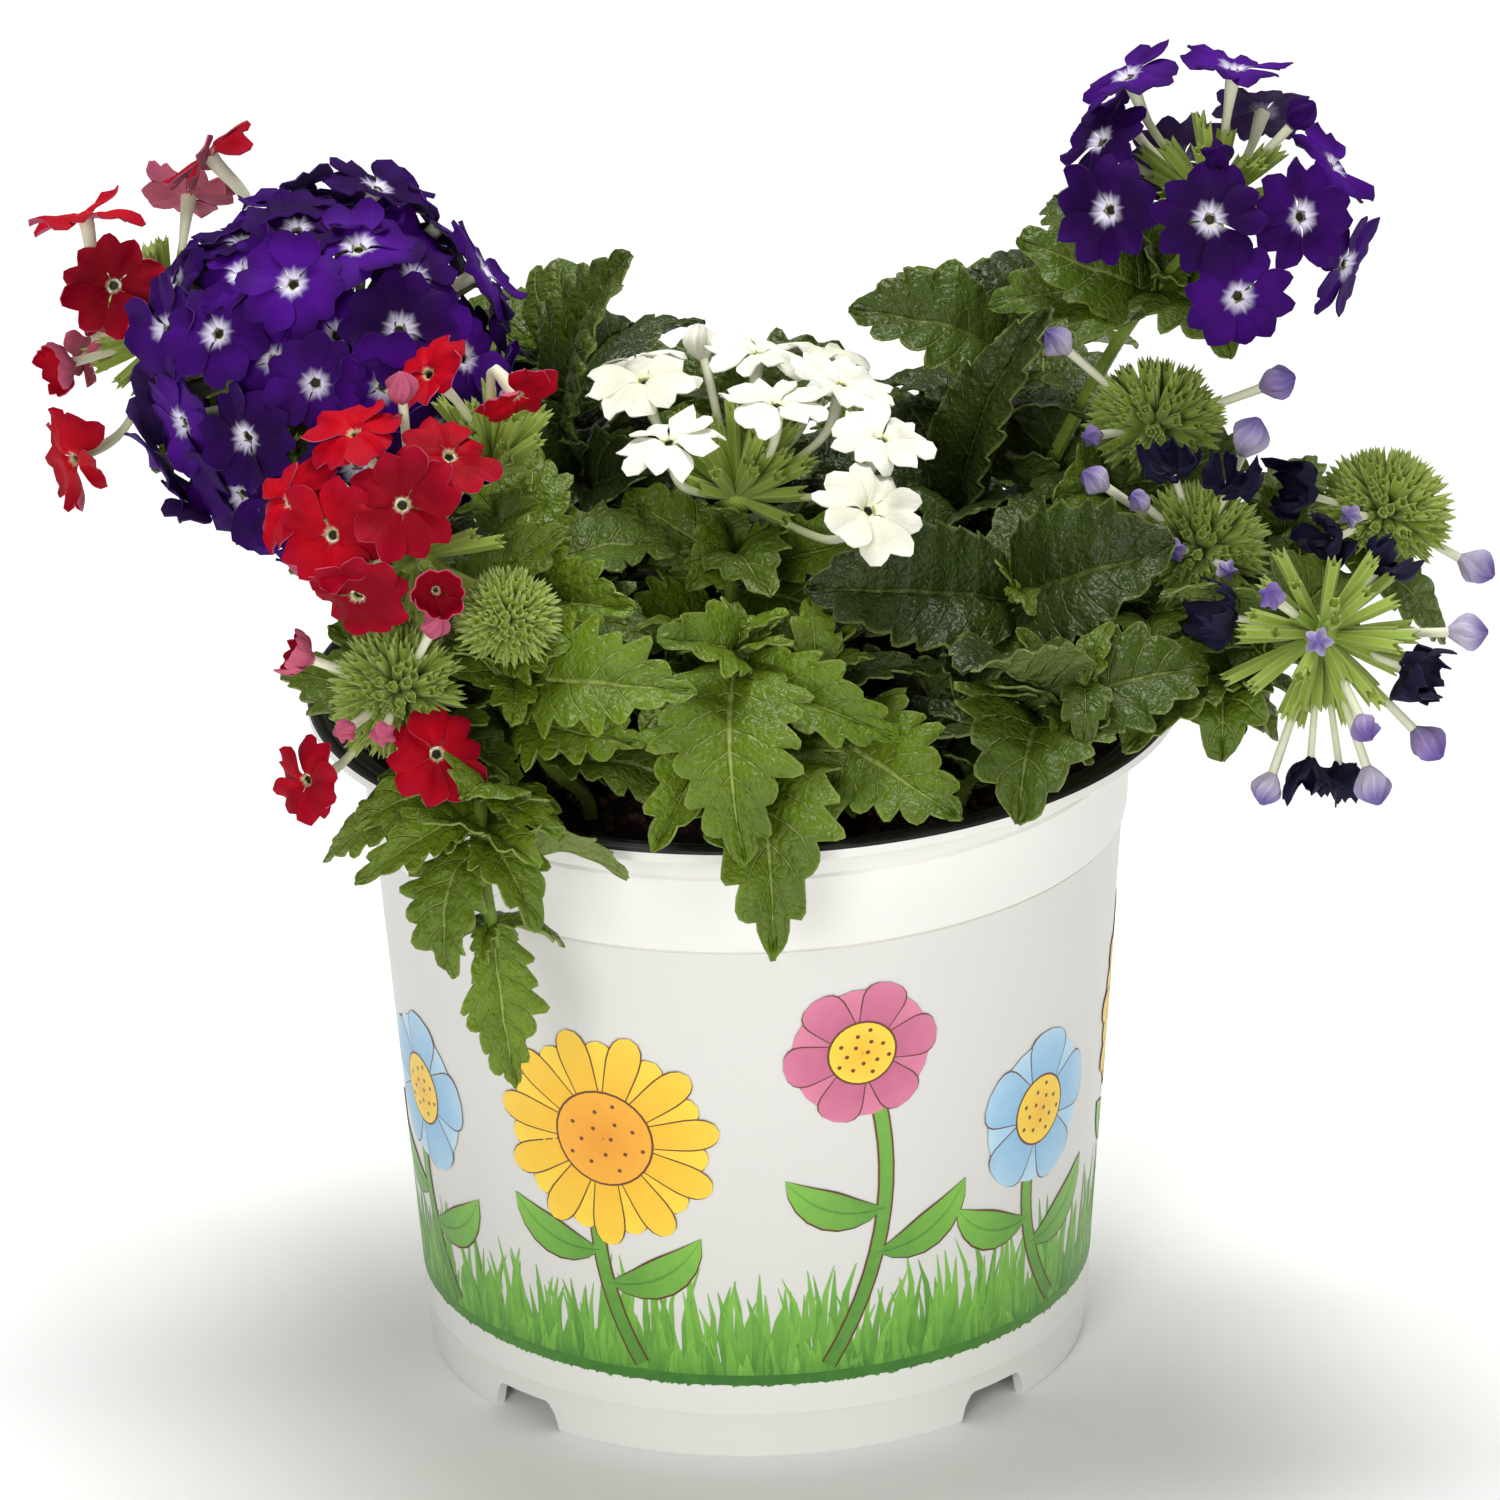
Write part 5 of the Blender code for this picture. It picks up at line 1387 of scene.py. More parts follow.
# Where the black layer shows on the rim: above the crest, and inside the rim's outer edge.
CREST_Z, RIM_INSIDE_Z, RIM_INSIDE_RADIUS = 151.2, 146.5, 93.9
INNER_SLOPE = 0.077
# The cuts through the foot skirt (how many, width, height) and the holes in the floor.
SKIRT_CUTS = ((4, 20.0, 6.8), (4, 12.0, 3.6))
SKIRT_CUT_DEPTH = 8
DRAINS, DRAIN_RADIUS, DRAIN_CIRCLE, DRAIN_SIDES = 8, 4.5, 52.0, 24
WHITE_LAYER, BLACK_LAYER, FILM = range(3)


def turned(profile, sides):
    """A solid of revolution from (radius, z) points, the first and last on the axis."""
    points, rings = [], []
    for radius, z in profile:
        count = 1 if radius == 0 else sides
        rings.append(list(range(len(points), len(points) + count)))
        for k in range(count):
            turn = math.tau * k / sides
            points.append((radius * math.cos(turn), radius * math.sin(turn), z))
    faces = []
    for low, high in zip(rings, rings[1:]):
        for k in range(sides):
            after = (k + 1) % sides
            if len(low) == 1:
                faces.append((low[0], high[after], high[k]))
            elif len(high) == 1:
                faces.append((low[k], low[after], high[0]))
            else:
                faces.append((low[k], low[after], high[after], high[k]))
    return points, faces


def skirt_cutters():
    """Blocks with rounded tops through the foot skirt, for its gaps and the notches between."""
    for count, width, height in SKIRT_CUTS:
        half = ((0.5, -1), (0.44, height * 0.6), (0.37, height * 0.93), (0.32, height))
        shape = ((-0.5, -1), *half, *((-a, z) for a, z in half[:0:-1]))
        for k in range(count):
            turn = math.tau * (k + 0.5) / count
            out = Vector((math.cos(turn), math.sin(turn), 0))
            across = Vector((-out.y, out.x, 0))
            yield [
                [out * (FOOT_RADIUS + reach) + across * (width * a) + UP * z for a, z in shape]
                for reach in (-SKIRT_CUT_DEPTH, SKIRT_CUT_DEPTH)
            ]


def drain_cutters():
    """Round holes through the floor."""
    for k in range(DRAINS):
        turn = math.tau * (k + 0.25) / DRAINS
        x, y = DRAIN_CIRCLE * math.cos(turn), DRAIN_CIRCLE * math.sin(turn)
        path = [Vector((x, y, FLOOR_LOW - 2)), Vector((x, y, FLOOR_TOP + 2))]
        yield rings_along(path, [round_section(DRAIN_RADIUS, DRAIN_SIDES)] * 2)


def bare_object(name, points, faces):
    """An object with no finish, its faces turned outwards."""
    mesh = bpy.data.meshes.new(name)
    mesh.from_pydata((np.asarray(points, float).reshape(-1, 3) * MM).tolist(), [], faces)
    made = bmesh.new()
    made.from_mesh(mesh)
    bmesh.ops.recalc_face_normals(made, faces=made.faces)
    made.to_mesh(mesh)
    made.free()
    obj = bpy.data.objects.new(name, mesh)
    bpy.context.scene.collection.objects.link(obj)
    return obj


def cut(obj, cutters):
    """Cuts closed lofts from an object in one exact Boolean, then removes them."""
    form = Form()
    for rings in cutters:
        loft(form, rings)
    tool = bare_object("cutters", np.concatenate(form.points), form.faces)
    difference = obj.modifiers.new("cut", "BOOLEAN")
    difference.operation = "DIFFERENCE"
    difference.solver = "EXACT"
    difference.object = tool
    graph = bpy.context.evaluated_depsgraph_get()
    mesh = bpy.data.meshes.new_from_object(obj.evaluated_get(graph))
    obj.modifiers.remove(difference)
    bpy.data.objects.remove(tool)
    return mesh


def make_pot(sizes, looks):
    """The pot: white outside with a printed film, ridged black inside, cut feet and holes."""
    points, faces = turned((*POT_OUTLINE, *POT_INSIDE), sizes.pot_sides)
    body = bare_object("pot_body", points, faces)
    mesh = cut(body, [*skirt_cutters(), *drain_cutters()])
    bpy.data.objects.remove(body)
    form = Form()
    places = np.array([v.co for v in mesh.vertices]) / MM
    form.add(places, [tuple(face.vertices) for face in mesh.polygons])
    for i, face in enumerate(mesh.polygons):
        x, y, z = face.center / MM
        radius = math.hypot(x, y)
        wall = SHOULDER_RADIUS - WALL - (SHOULDER_Z - z) * INNER_SLOPE
        inside = radius < wall - 0.1 and z > FLOOR_TOP - 0.1
        rim = z > RIM_INSIDE_Z and radius < RIM_INSIDE_RADIUS and face.normal.z > -0.2
        if inside or rim or z > CREST_Z:
            form.looks[i] = BLACK_LAYER
        elif radius > wall and PRINT_LOW < z < PRINT_HIGH:
            form.looks[i] = FILM
    return piece("pot_body", form, looks, "pot_plastic", ["pot"], 32)


# The ink's thickness, how far it stands off the wall and how far one layer lies over another.
INK_THICKNESS, INK_CLEARANCE, LAYER_LIFT = 0.02, 0.04, 0.35


def on_wall(angle, z, lift):
    """A place on the printed wall: an angle from the front, to the right, and a height."""
    radius = FILM_LOW + (z - PRINT_LOW) * WALL_TAPER + INK_CLEARANCE + lift * LAYER_LIFT
    return np.stack([radius * np.sin(angle), -radius * np.cos(angle), z], -1)


def ink(form, along_path, widths, lift, tone, columns=3, look=0):
    """A tapering stroke of ink: a strip about a path of (arc mm, height) on the wall."""
    path = np.array(along_path, float)
    ahead = np.gradient(path, axis=0)
    ahead /= np.maximum(np.linalg.norm(ahead, axis=1, keepdims=True), 1e-9)
    square = np.stack([-ahead[:, 1], ahead[:, 0]], 1)
    shares = np.linspace(1, -1, columns)
    across = shares[None, :, None] * np.array(widths)[:, None, None]
    flat = path[:, None] + square[:, None] * across
    grid = on_wall(flat[..., 0] / PRINT_RADIUS, flat[..., 1], lift)
    t = np.linspace(0, 1, len(path))
    paint = painted(*np.meshgrid(t, shares, indexing="ij"), tone)
    sheet(form, grid, INK_THICKNESS, paint, look)


def stroke(start, end, bow, count=9):
    """A bowed path between two places on the wall."""
    a, b = np.array(start, float), np.array(end, float)
    across = np.array([-(b - a)[1], (b - a)[0]])
    return [a + (b - a) * t + across * (bow * 4 * t * (1 - t)) for t in np.linspace(0, 1, count)]


def lens(width, count=9):
    """Half widths of a shape that is pointed at both ends."""
    shares = np.linspace(0, 1, count)
    return 0.05 + width / 2 * np.sin(math.pi * shares).clip(0) ** 0.8


def disc(form, centre, radius, lift, tone, look, rings=5, sides=30):
    """A round spot of ink."""
    shares, turns = np.linspace(0.02, 1, rings), np.linspace(0, math.tau, sides + 1)
    t, turn = np.meshgrid(shares, turns, indexing="ij")
    flat_u, flat_z = centre[0] + radius * t * np.cos(turn), centre[1] + radius * t * np.sin(turn)
    grid = on_wall(flat_u / PRINT_RADIUS, flat_z, lift)
    sheet(form, grid, INK_THICKNESS, painted(t, np.sin(turn), tone), look)


# The inks: name, dark and light colour.
INKS = (
    ("ink_brown_line", "#4A2A16", "#7A4A28"),
    ("ink_green", "#0C5C1C", "#8CCB4C"),
    ("ink_yellow", "#F0A818", "#FFE04A"),
    ("ink_orange", "#E58A1E", "#F9B83A"),
    ("ink_pink", "#B04A72", "#E58AA8"),
    ("ink_light_blue", "#5FA6D6", "#C8E6F4"),
)
OUTLINE_INK, GREEN_INK, YELLOW_INK, ORANGE_INK, PINK_INK, BLUE_INK = range(len(INKS))
# The repeat of the print round the pot: arc from the repeat's start and height of each blossom,
# its radius, petals, how broad they are, its inks and how far its stem leans.
Blossom = namedtuple("Blossom", "arc height radius petals breadth ink eye sway")
BLOSSOMS = (
    Blossom(20, 76, 26.0, 11, 0.95, YELLOW_INK, ORANGE_INK, 0.10),
    Blossom(76, 97, 17.0, 6, 1.05, PINK_INK, YELLOW_INK, -0.12),
    Blossom(124, 70, 18.5, 5, 1.12, BLUE_INK, YELLOW_INK, 0.14),
)
REPEATS, FIRST_ARC = 3, -53
# The blades in three rows, one over the other: how many, and their least and greatest height.
BLADE_ROWS = ((300, 15, 30), (300, 9, 24), (260, 5, 16))
# A blade's half width along it, of its width at the foot.
BLADE = np.array([1, 0.97, 0.78, 0.45, 0.06])
FOOT_BAND, FOOT_STEPS = 1.2, 97
SEEDS = 14
# Places along a printed petal, closer together at its rounded end.
TO_TIP = 1 - (1 - np.linspace(0, 1, 9)) ** 1.5


def print_form():
    """The pot's printed border: a fringe of blades and plain round blossoms on stems."""
    form = Form()
    draw = random.Random("print")
    girth = math.tau * PRINT_RADIUS
    for row, (count, low, high) in enumerate(BLADE_ROWS):
        for i in range(count):
            u = girth * (i + draw.uniform(-0.5, 0.5)) / count
            height = draw.uniform(low, high)
            tip = (u + draw.uniform(-3.5, 3.5), PRINT_LOW + height)
            path = stroke((u, PRINT_LOW), tip, draw.uniform(-0.12, 0.12), len(BLADE))
            width = draw.uniform(0.9, 1.7)
            ink(form, path, width * BLADE, 0.10 + 0.07 * row, draw.uniform(0, 1), 2, GREEN_INK)
    for end in (girth / 2, -girth / 2):
        foot = stroke((0, PRINT_LOW + FOOT_BAND), (end, PRINT_LOW + FOOT_BAND), 0, FOOT_STEPS)
        ink(form, foot, np.full(FOOT_STEPS, FOOT_BAND), 0.32, 0.0, 3, GREEN_INK)
    for k in range(REPEATS):
        for blossom in BLOSSOMS:
            blossom_ink(form, blossom, girth * k / REPEATS + FIRST_ARC + blossom.arc)
    return form


def blossom_ink(form, plan, arc):
    """One blossom with its stem and leaves, each shape on a slightly larger brown outline."""
    centre = np.array([arc, plan.height])
    foot = (arc + plan.sway * 60, PRINT_LOW + 4)
    stem = stroke(foot, centre, plan.sway, 15)
    for lift, width, look in ((0.36, 1.9, OUTLINE_INK), (0.42, 1.45, GREEN_INK)):
        ink(form, stem, np.full(len(stem), width), lift, 0.5, 3, look)
    for k, way in ((5, 1), (7, -1)):
        root = stem[k]
        tip = (root[0] + way * 22, root[1] + 9 + 4 * (way > 0))
        path = stroke(root, tip, -0.16 * way)
        for lift, width, look, tone in (
            (0.38, 9.6, OUTLINE_INK, 0),
            (0.44, 8.6, GREEN_INK, 0.75),
            (0.50, 0.5, GREEN_INK, 0.1),
        ):
            ink(form, path, lens(width), lift, tone, 5, look)
    inner = plan.radius * 0.42
    wide = plan.breadth * math.tau * plan.radius * 0.62 / plan.petals
    for ring in (0, 1):
        reach = plan.radius * (1.0 - 0.10 * ring)
        for k in range(plan.petals):
            turn = math.tau * (k + 0.5 * ring) / plan.petals + 0.15
            way = np.array([math.cos(turn), math.sin(turn)])
            path = [centre + way * (inner * 0.6 + (reach - inner * 0.6) * t) for t in TO_TIP]
            rise = 0.12 * (1 - ring) + 0.05 * (k % 2)
            for lift, grow, look in ((0.46, 0.9, OUTLINE_INK), (0.50, 0.0, plan.ink)):
                widths = petal_widths(wide + grow)
                ink(form, path, widths, lift + rise, 0.4 + 0.5 * ring, 5, look)
    disc(form, centre, inner + 0.5, 0.76, 0, OUTLINE_INK)
    disc(form, centre, inner, 0.82, 0.5, plan.eye)
    for i in range(SEEDS):
        turn, reach = GOLDEN_TURN * i, inner * 0.85 * math.sqrt((i + 0.5) / SEEDS)
        spot = (arc + reach * math.cos(turn), plan.height + reach * math.sin(turn))
        disc(form, spot, 0.5, 0.88, 0.9, OUTLINE_INK, 2, 8)


def petal_widths(width):
    """Half widths of a petal with a rounded end."""
    rounded = np.sqrt((1 - (2 * TO_TIP - 1).clip(0) ** 2.6).clip(0))
    return 0.05 + width / 2 * (0.45 + 0.55 * TO_TIP) * rounded


SOIL_SIDES, SOIL_RINGS = 128, 44
# The share of crumbs that are larger.
LARGE_CRUMBS = 0.12


def inner_radius(z):
    """The radius of the pot's inner wall at a height."""
    share = (z - FLOOR_TOP) / (SHOULDER_Z - FLOOR_TOP)
    return WALL_RADIUS - WALL + (SHOULDER_RADIUS - WALL_RADIUS) * share


def soil_height(x, y):
    """The height of the compost's uneven top."""
    place = Vector((x, y, 0))
    rough = noise.fractal(place * 0.06, 1.0, 2.2, 3) * 1.3
    return SOIL_TOP + rough + noise.fractal(place * 0.35, 1.0, 2.0, 3) * 0.9


def soil_form():
    """The compost's body, uneven on top, under loose crumbs and bits of bark."""
    form = Form()
    edge = inner_radius(SOIL_TOP - 2) - GAP
    around, rings = SOIL_SIDES, SOIL_RINGS
    points = [(0, 0, soil_height(0, 0))]
    for i in range(1, rings + 1):
        radius = edge * i / rings
        for k in range(around):
            turn = math.tau * k / around
            x, y = radius * math.cos(turn), radius * math.sin(turn)
            drop = 1.8 * max(0.0, (i / rings - 0.93) / 0.07) ** 2
            points.append((x, y, soil_height(x, y) - drop))
    low = inner_radius(FLOOR_TOP) - GAP
    for k in range(around):
        turn = math.tau * k / around
        points.append((low * math.cos(turn), low * math.sin(turn), FLOOR_TOP + GAP))
    faces = [(0, 1 + k, 1 + (k + 1) % around) for k in range(around)]
    for i in range(rings):
        inner, outer = 1 + i * around, 1 + (i + 1) * around
        for k in range(around):
            after = (k + 1) % around
            faces.append((inner + k, outer + k, outer + after, inner + after))
    bottom = 1 + rings * around
    faces.append(tuple(range(bottom, bottom + around))[::-1])
    form.add(points, faces)
    return form


def crumbs_form(sizes):
    """Loose crumbs and splinters half sunk in the compost's top."""
    form = Form()
    draw = random.Random("crumbs")
    ball = bmesh.new()
    bmesh.ops.create_icosphere(ball, subdivisions=1, radius=1.0)
    shape = np.array([v.co for v in ball.verts])
    faces = [tuple(v.index for v in face.verts) for face in ball.faces]
    ball.free()
    edge = inner_radius(SOIL_TOP) - 3.0
    for i in range(sizes.crumbs):
        radius = edge * math.sqrt(draw.random())
        turn = draw.uniform(0, math.tau)
        x, y = radius * math.cos(turn), radius * math.sin(turn)
        size = draw.uniform(0.5, 1.6) * (1.5 if draw.random() < LARGE_CRUMBS else 1)
        stretch = (draw.uniform(0.8, 2.4), draw.uniform(0.7, 1.1), draw.uniform(0.5, 0.8))
        own = Vector((i, 0, 0))
        rough = 1 + 0.22 * np.array([noise.noise(Vector(p) * 1.3 + own) for p in shape])
        axis = (draw.gauss(0, 0.2), draw.gauss(0, 0.2), 1)
        turned_by = np.array(Quaternion(axis, draw.uniform(0, math.tau)).to_matrix())
        points = (shape * rough[:, None] * stretch * size) @ turned_by.T
        points += (x, y, soil_height(x, y) + size * 0.25)
        form.add(points, faces, (0, 0, draw.random(), 0))
    return form


# Materials.


def add(tree, kind, *values, output=0, **settings):
    """Adds a shader node with its settings, and a value or a link for each of its sockets in
    order, and gives one of its outputs."""
    made = tree.nodes.new("ShaderNode" + kind)
    for key, value in settings.items():
        setattr(made, key, value)
    for socket, value in zip([socket for socket in made.inputs if socket.enabled], values):
        if isinstance(value, bpy.types.NodeSocket):
            tree.links.new(value, socket)
        elif value is not None:
            socket.default_value = value
    if isinstance(output, str):
        return made.outputs[output]
    return [socket for socket in made.outputs if socket.enabled][output]


# The settings of a node that mixes colours, and of one that eases between two values.
RGB = {"data_type": "RGBA"}
SOFT = {"interpolation_type": "SMOOTHSTEP"}


# A material with its tree and shader, and what the piece's paint holds at each point: two
# places, a tone and how far it is the underside. The last is the point itself.
Look = namedtuple("Look", "made tree shader along across tone under point")


def started(name, **settings):
    """A new material with its shader's own values set, ready for its patterns."""
    made = bpy.data.materials.new(name)
    made.use_nodes = True
    tree = made.node_tree
    shader = tree.nodes["Principled BSDF"]
    for socket, value in settings.items():
        shader.inputs[socket.replace("_", " ")].default_value = value
    grown = add(tree, "Attribute", output="Color", attribute_name="grown")
    parts = add(tree, "SeparateColor", grown).node.outputs
    point = add(tree, "TexCoord", output="Object")
    return Look(made, tree, shader, *parts[:3], grown.node.outputs["Alpha"], point)


def finished(look, colour, height=None, millimetres=0):
    """Gives the material its colour and, where there is one, a relief this deep."""
    look.tree.links.new(colour, look.shader.inputs["Base Color"])
    if height:
        relief = add(look.tree, "Bump", None, millimetres * MM, None, height)
        look.tree.links.new(relief, look.shader.inputs["Normal"])
    return look.made


def leaf_material(colours):
    """The leaves' finish: its way along counts the side veins, its way across finds the midrib."""
    # Living leaf: waxy and a little hairy, so it shines softly; veins are paler than the tissue
    # between them, most on young leaves, and a net of veinlets about 2 mm apart quilts it.
    look = started("verbena_leaf_living", Roughness=0.34, IOR=1.42, Specular_IOR_Level=0.38)
    tree, point = look.tree, look.point
    spread = add(tree, "Math", look.across, operation="ABSOLUTE")
    near = add(tree, "Math", look.along, 0.5, operation="PINGPONG")
    fading = add(tree, "MapRange", spread, 1.02, 0.55, 0.0, 1.0, **SOFT)
    side_vein = add(tree, "MapRange", near, 0.01, 0.07, fading, 0.0, **SOFT)
    midrib = add(tree, "MapRange", spread, 0.02, 0.07, 1.0, 0.0, **SOFT)
    vein = add(tree, "Math", side_vein, midrib, operation="MAXIMUM")
    net = add(
        tree, "TexVoronoi", point, 1 / (2.2 * MM), None, None, None, 0.9, feature="DISTANCE_TO_EDGE"
    )
    clouds = add(tree, "TexNoise", point, 1 / (14 * MM), 3.0)
    patches = add(tree, "MapRange", clouds, 0.35, 0.75, 0.0, 0.45, **SOFT)
    pale = add(tree, "Math", look.tone, -0.42, 0.52, operation="MULTIPLY_ADD")
    pale = add(tree, "Math", pale, vein, operation="MULTIPLY")
    margin = add(tree, "MapRange", spread, 0.92, 1.0, 0.0, 0.18, **SOFT)
    turned_over = add(tree, "Math", look.under, 0.55, operation="MULTIPLY")
    base = add(tree, "Mix", look.tone, colours.leaf_young, colours.leaf_old, **RGB)
    for share, colour in (
        (patches, colours.leaf_olive),
        (pale, colours.leaf_vein),
        (margin, colours.leaf_vein),
        (turned_over, colours.leaf_under),
    ):
        base = add(tree, "Mix", share, base, colour, **RGB)
    cells = add(tree, "MapRange", net, 0.0, 0.5, 0.0, 1.0, **SOFT)
    down = add(tree, "TexNoise", point, 1 / (0.7 * MM), 1.0)
    quilt = add(tree, "Math", cells, down, operation="ADD")
    quilt = add(tree, "Math", vein, -1.5, quilt, operation="MULTIPLY_ADD")
    return finished(look, base, quilt, 0.30)


def stem_material(colours):
    """The stems' finish, from the compost to the flowers."""
    # Soft green stalk: ribbed, faintly glossy, a little browner low down.
    look = started("verbena_stem_living", Roughness=0.48, IOR=1.42, Specular_IOR_Level=0.35)
    tree = look.tree
    height = add(tree, "MapRange", look.along, 0.0, 0.6, 0.0, 1.0, **SOFT)
    base = add(tree, "Mix", height, colours.stem_low, colours.stem_high, **RGB)
    streaks = add(tree, "TexNoise", look.point, 1 / (1.6 * MM), 3.0)
    share = add(tree, "Math", streaks, 0.35, operation="MULTIPLY")
    base = add(tree, "Mix", share, base, colours.leaf_olive, **RGB)
    return finished(look, base, streaks, 0.15)


def hair_material(colours):
    """The finish of the stems' hairs."""
    # Plant hairs: thin, clear and pale, so they catch the light along the edges.
    look = started("verbena_hair", Roughness=0.35, IOR=1.45)
    specks = add(look.tree, "TexNoise", look.point, 1 / (0.5 * MM))
    return finished(look, add(look.tree, "Mix", specks, colours.hair, colours.leaf_under, **RGB))


# Each petal finish: its name, the colours of its deeper patches, edge, back, eye and throat, how
# far its eye reaches, how much the rays round the eye vary, and its gloss.
Petal = namedtuple("Petal", "name colours reach rays gloss")
PETALS = {
    "petal_purple": Petal(
        "petal_violet_velvet",
        ("#22043C", "#30065A", "#44305F", "#EAE4F8", "#4A4A26"),
        *(0.20, 0.045, 0.10),
    ),
    "petal_red": Petal(
        "petal_red_velvet",
        ("#7C0014", "#A20426", "#CC6A88", "#F0E6C8", "#9AA050"),
        *(0.115, 0.015, 0.12),
    ),
    "petal_white": Petal(
        "petal_white_soft",
        ("#E2E1CC", "#F0EFE6", "#EDEBDC", "#E4E6B4", "#8E9A4A"),
        *(0.14, 0.02, 0.25),
    ),
    "petal_violet": Petal(
        "petal_violet_pale",
        ("#9A86BA", "#4C2E92", "#B8AACC", "#DCD4EC", "#4A4A30"),
        *(0.12, 0.02, 0.25),
    ),
}


def petal_material(plan, light, dried):
    """The finish of one colour of petals, from its main colour and that of withered petals."""
    # Petal: velvety from small raised cells, so it is matt and its colour stays deep. Its eye
    # runs out in fine rays, and a crumpled petal (a tone of 2) has dried to blue-black.
    deep, edge, back, eye, throat = (linear(colour) for colour in plan.colours)
    look = started(plan.name, Roughness=0.60, IOR=1.38, Specular_IOR_Level=plan.gloss)
    tree, point = look.tree, look.point
    clouds = add(tree, "TexNoise", point, 1 / (9 * MM), 2.0)
    clouds = add(tree, "Math", clouds, 0.45, operation="MULTIPLY")
    wash = add(tree, "Math", look.tone, 0.55, clouds, operation="MULTIPLY_ADD")
    wash = add(tree, "MapRange", wash, 0.30, 0.72, 0.0, 1.0, **SOFT)
    rim = add(tree, "MapRange", look.along, 0.45, 1.0, 0.0, 0.85, **SOFT)
    fine = add(tree, "Math", look.across, 26.0, operation="MULTIPLY")
    coarse = add(tree, "Math", look.along, 2.0, operation="MULTIPLY")
    fan = add(tree, "CombineXYZ", fine, coarse, look.tone)
    streaks = add(tree, "TexNoise", fan, 1.0, 3.0)
    faint = add(tree, "Math", streaks, 0.30, operation="MULTIPLY")
    spread = add(tree, "Math", look.across, operation="ABSOLUTE")
    line = add(tree, "MapRange", spread, 0.004, 0.05, 1.0, 0.0, **SOFT)
    beam = add(tree, "Math", line, streaks, operation="ADD")
    beam = add(tree, "Math", beam, plan.rays, plan.reach, operation="MULTIPLY_ADD")
    share = add(tree, "Math", look.along, beam, operation="DIVIDE")
    ring = add(tree, "MapRange", share, 0.40, 1.35, 1.0, 0.0, **SOFT)
    hole = add(tree, "MapRange", look.along, 0.088, 0.125, 1.0, 0.0, **SOFT)
    behind = add(tree, "Math", look.under, 0.75, operation="MULTIPLY")
    withered = add(tree, "MapRange", look.tone, 1.4, 1.9, 0.0, 1.0, **SOFT)
    base = add(tree, "Mix", wash, light, deep, **RGB)
    for share, colour in (
        (rim, edge),
        (faint, deep),
        (ring, eye),
        (hole, throat),
        (behind, back),
        (withered, dried),
    ):
        base = add(tree, "Mix", share, base, colour, **RGB)
    cells = add(tree, "TexNoise", point, 1 / (0.6 * MM), 2.0)
    return finished(look, base, add(tree, "Math", cells, streaks, operation="ADD"), 0.12)


def calyx_material(colours):
    """The calyces' finish, its way across high on the ribs."""
    # Hairy green calyx, matt from short hairs; its ribs are painted paler than its furrows, a
    # painted light on the ribs and painted shade in the furrows.
    look = started("verbena_calyx_hairy", Roughness=0.62, IOR=1.40, Sheen_Weight=0.08)
    tree = look.tree
    height = add(tree, "MapRange", look.along, 0.1, 0.9, 0.0, 1.0, **SOFT)
    base = add(tree, "Mix", height, colours.calyx_low, colours.calyx_high, **RGB)
    share = add(tree, "Math", look.tone, 0.4, operation="MULTIPLY")
    base = add(tree, "Mix", share, base, colours.stem_high, **RGB)
    # Painted light and shade: the ribs are painted towards the pale tube colour, and the furrows
    # stay darker.
    rib = add(tree, "MapRange", look.across, 0.1, 0.9, 0.0, 0.45, **SOFT)
    base = add(tree, "Mix", rib, base, colours.tube_foot_and_rib_light, **RGB)
    return finished(look, base, add(tree, "TexNoise", look.point, 1 / (0.5 * MM)), 0.15)


def tube_material(colours):
    """The flower tubes' finish, its way along past 1 inside the mouth."""
    # Corolla tube: soft cream, greener towards the calyx, faintly ribbed and downy; inside its
    # mouth it is painted near black as shade.
    look = started("verbena_tube_downy", Roughness=0.55, IOR=1.38, Sheen_Weight=0.10)
    tree = look.tree
    height = add(tree, "MapRange", look.along, 0.0, 0.7, 0.0, 1.0, **SOFT)
    base = add(tree, "Mix", height, colours.tube_foot_and_rib_light, colours.tube_high, **RGB)
    streaks = add(tree, "TexNoise", look.point, 1 / (0.8 * MM))
    share = add(tree, "Math", streaks, 0.25, operation="MULTIPLY")
    base = add(tree, "Mix", share, base, colours.tube_foot_and_rib_light, **RGB)
    # Painted shade: past 1 along, inside the mouth, the tube is painted near black.
    within = add(tree, "MapRange", look.along, 1.1, 1.5, 0.0, 1.0, **SOFT)
    base = add(tree, "Mix", within, base, colours.tube_mouth_shade, **RGB)
    return finished(look, base, streaks, 0.10)


def pot_material(name, colour, roughness, wear):
    """The finish of one layer of the pot, and the colour of its wear."""
    # Thin polypropylene, injection moulded: a soft satin with a faint orange-peel about 1.5 mm
    # across, and light scuffs where pots are stacked.
    look = started(name, IOR=1.49)
    tree, point = look.tree, look.point
    clouds = add(tree, "TexNoise", point, 1 / (40 * MM), 3.0)
    share = add(tree, "Math", clouds, 0.35, operation="MULTIPLY")
    gloss = add(tree, "Math", clouds, 0.14, roughness - 0.06, operation="MULTIPLY_ADD")
    tree.links.new(gloss, look.shader.inputs["Roughness"])
    base = add(tree, "Mix", share, colour, linear(wear), **RGB)
    return finished(look, base, add(tree, "TexNoise", point, 1 / (1.5 * MM)), 0.03)


def ink_material(name, low, high):
    """The finish of one ink, between two colours."""
    # Printed ink under varnish: flat colour with a soft wash from one end to the other.
    look = started(name, Roughness=0.42, IOR=1.49)
    tree = look.tree
    mottle = add(tree, "TexNoise", look.point, 1 / (3 * MM), 3.0)
    wash = add(tree, "Math", mottle, 0.25, operation="MULTIPLY")
    wash = add(tree, "Math", look.tone, 0.35, wash, operation="MULTIPLY_ADD")
    wash = add(tree, "Math", look.along, 0.45, wash, operation="MULTIPLY_ADD")
    return finished(look, add(tree, "Mix", wash, linear(low), linear(high), **RGB))


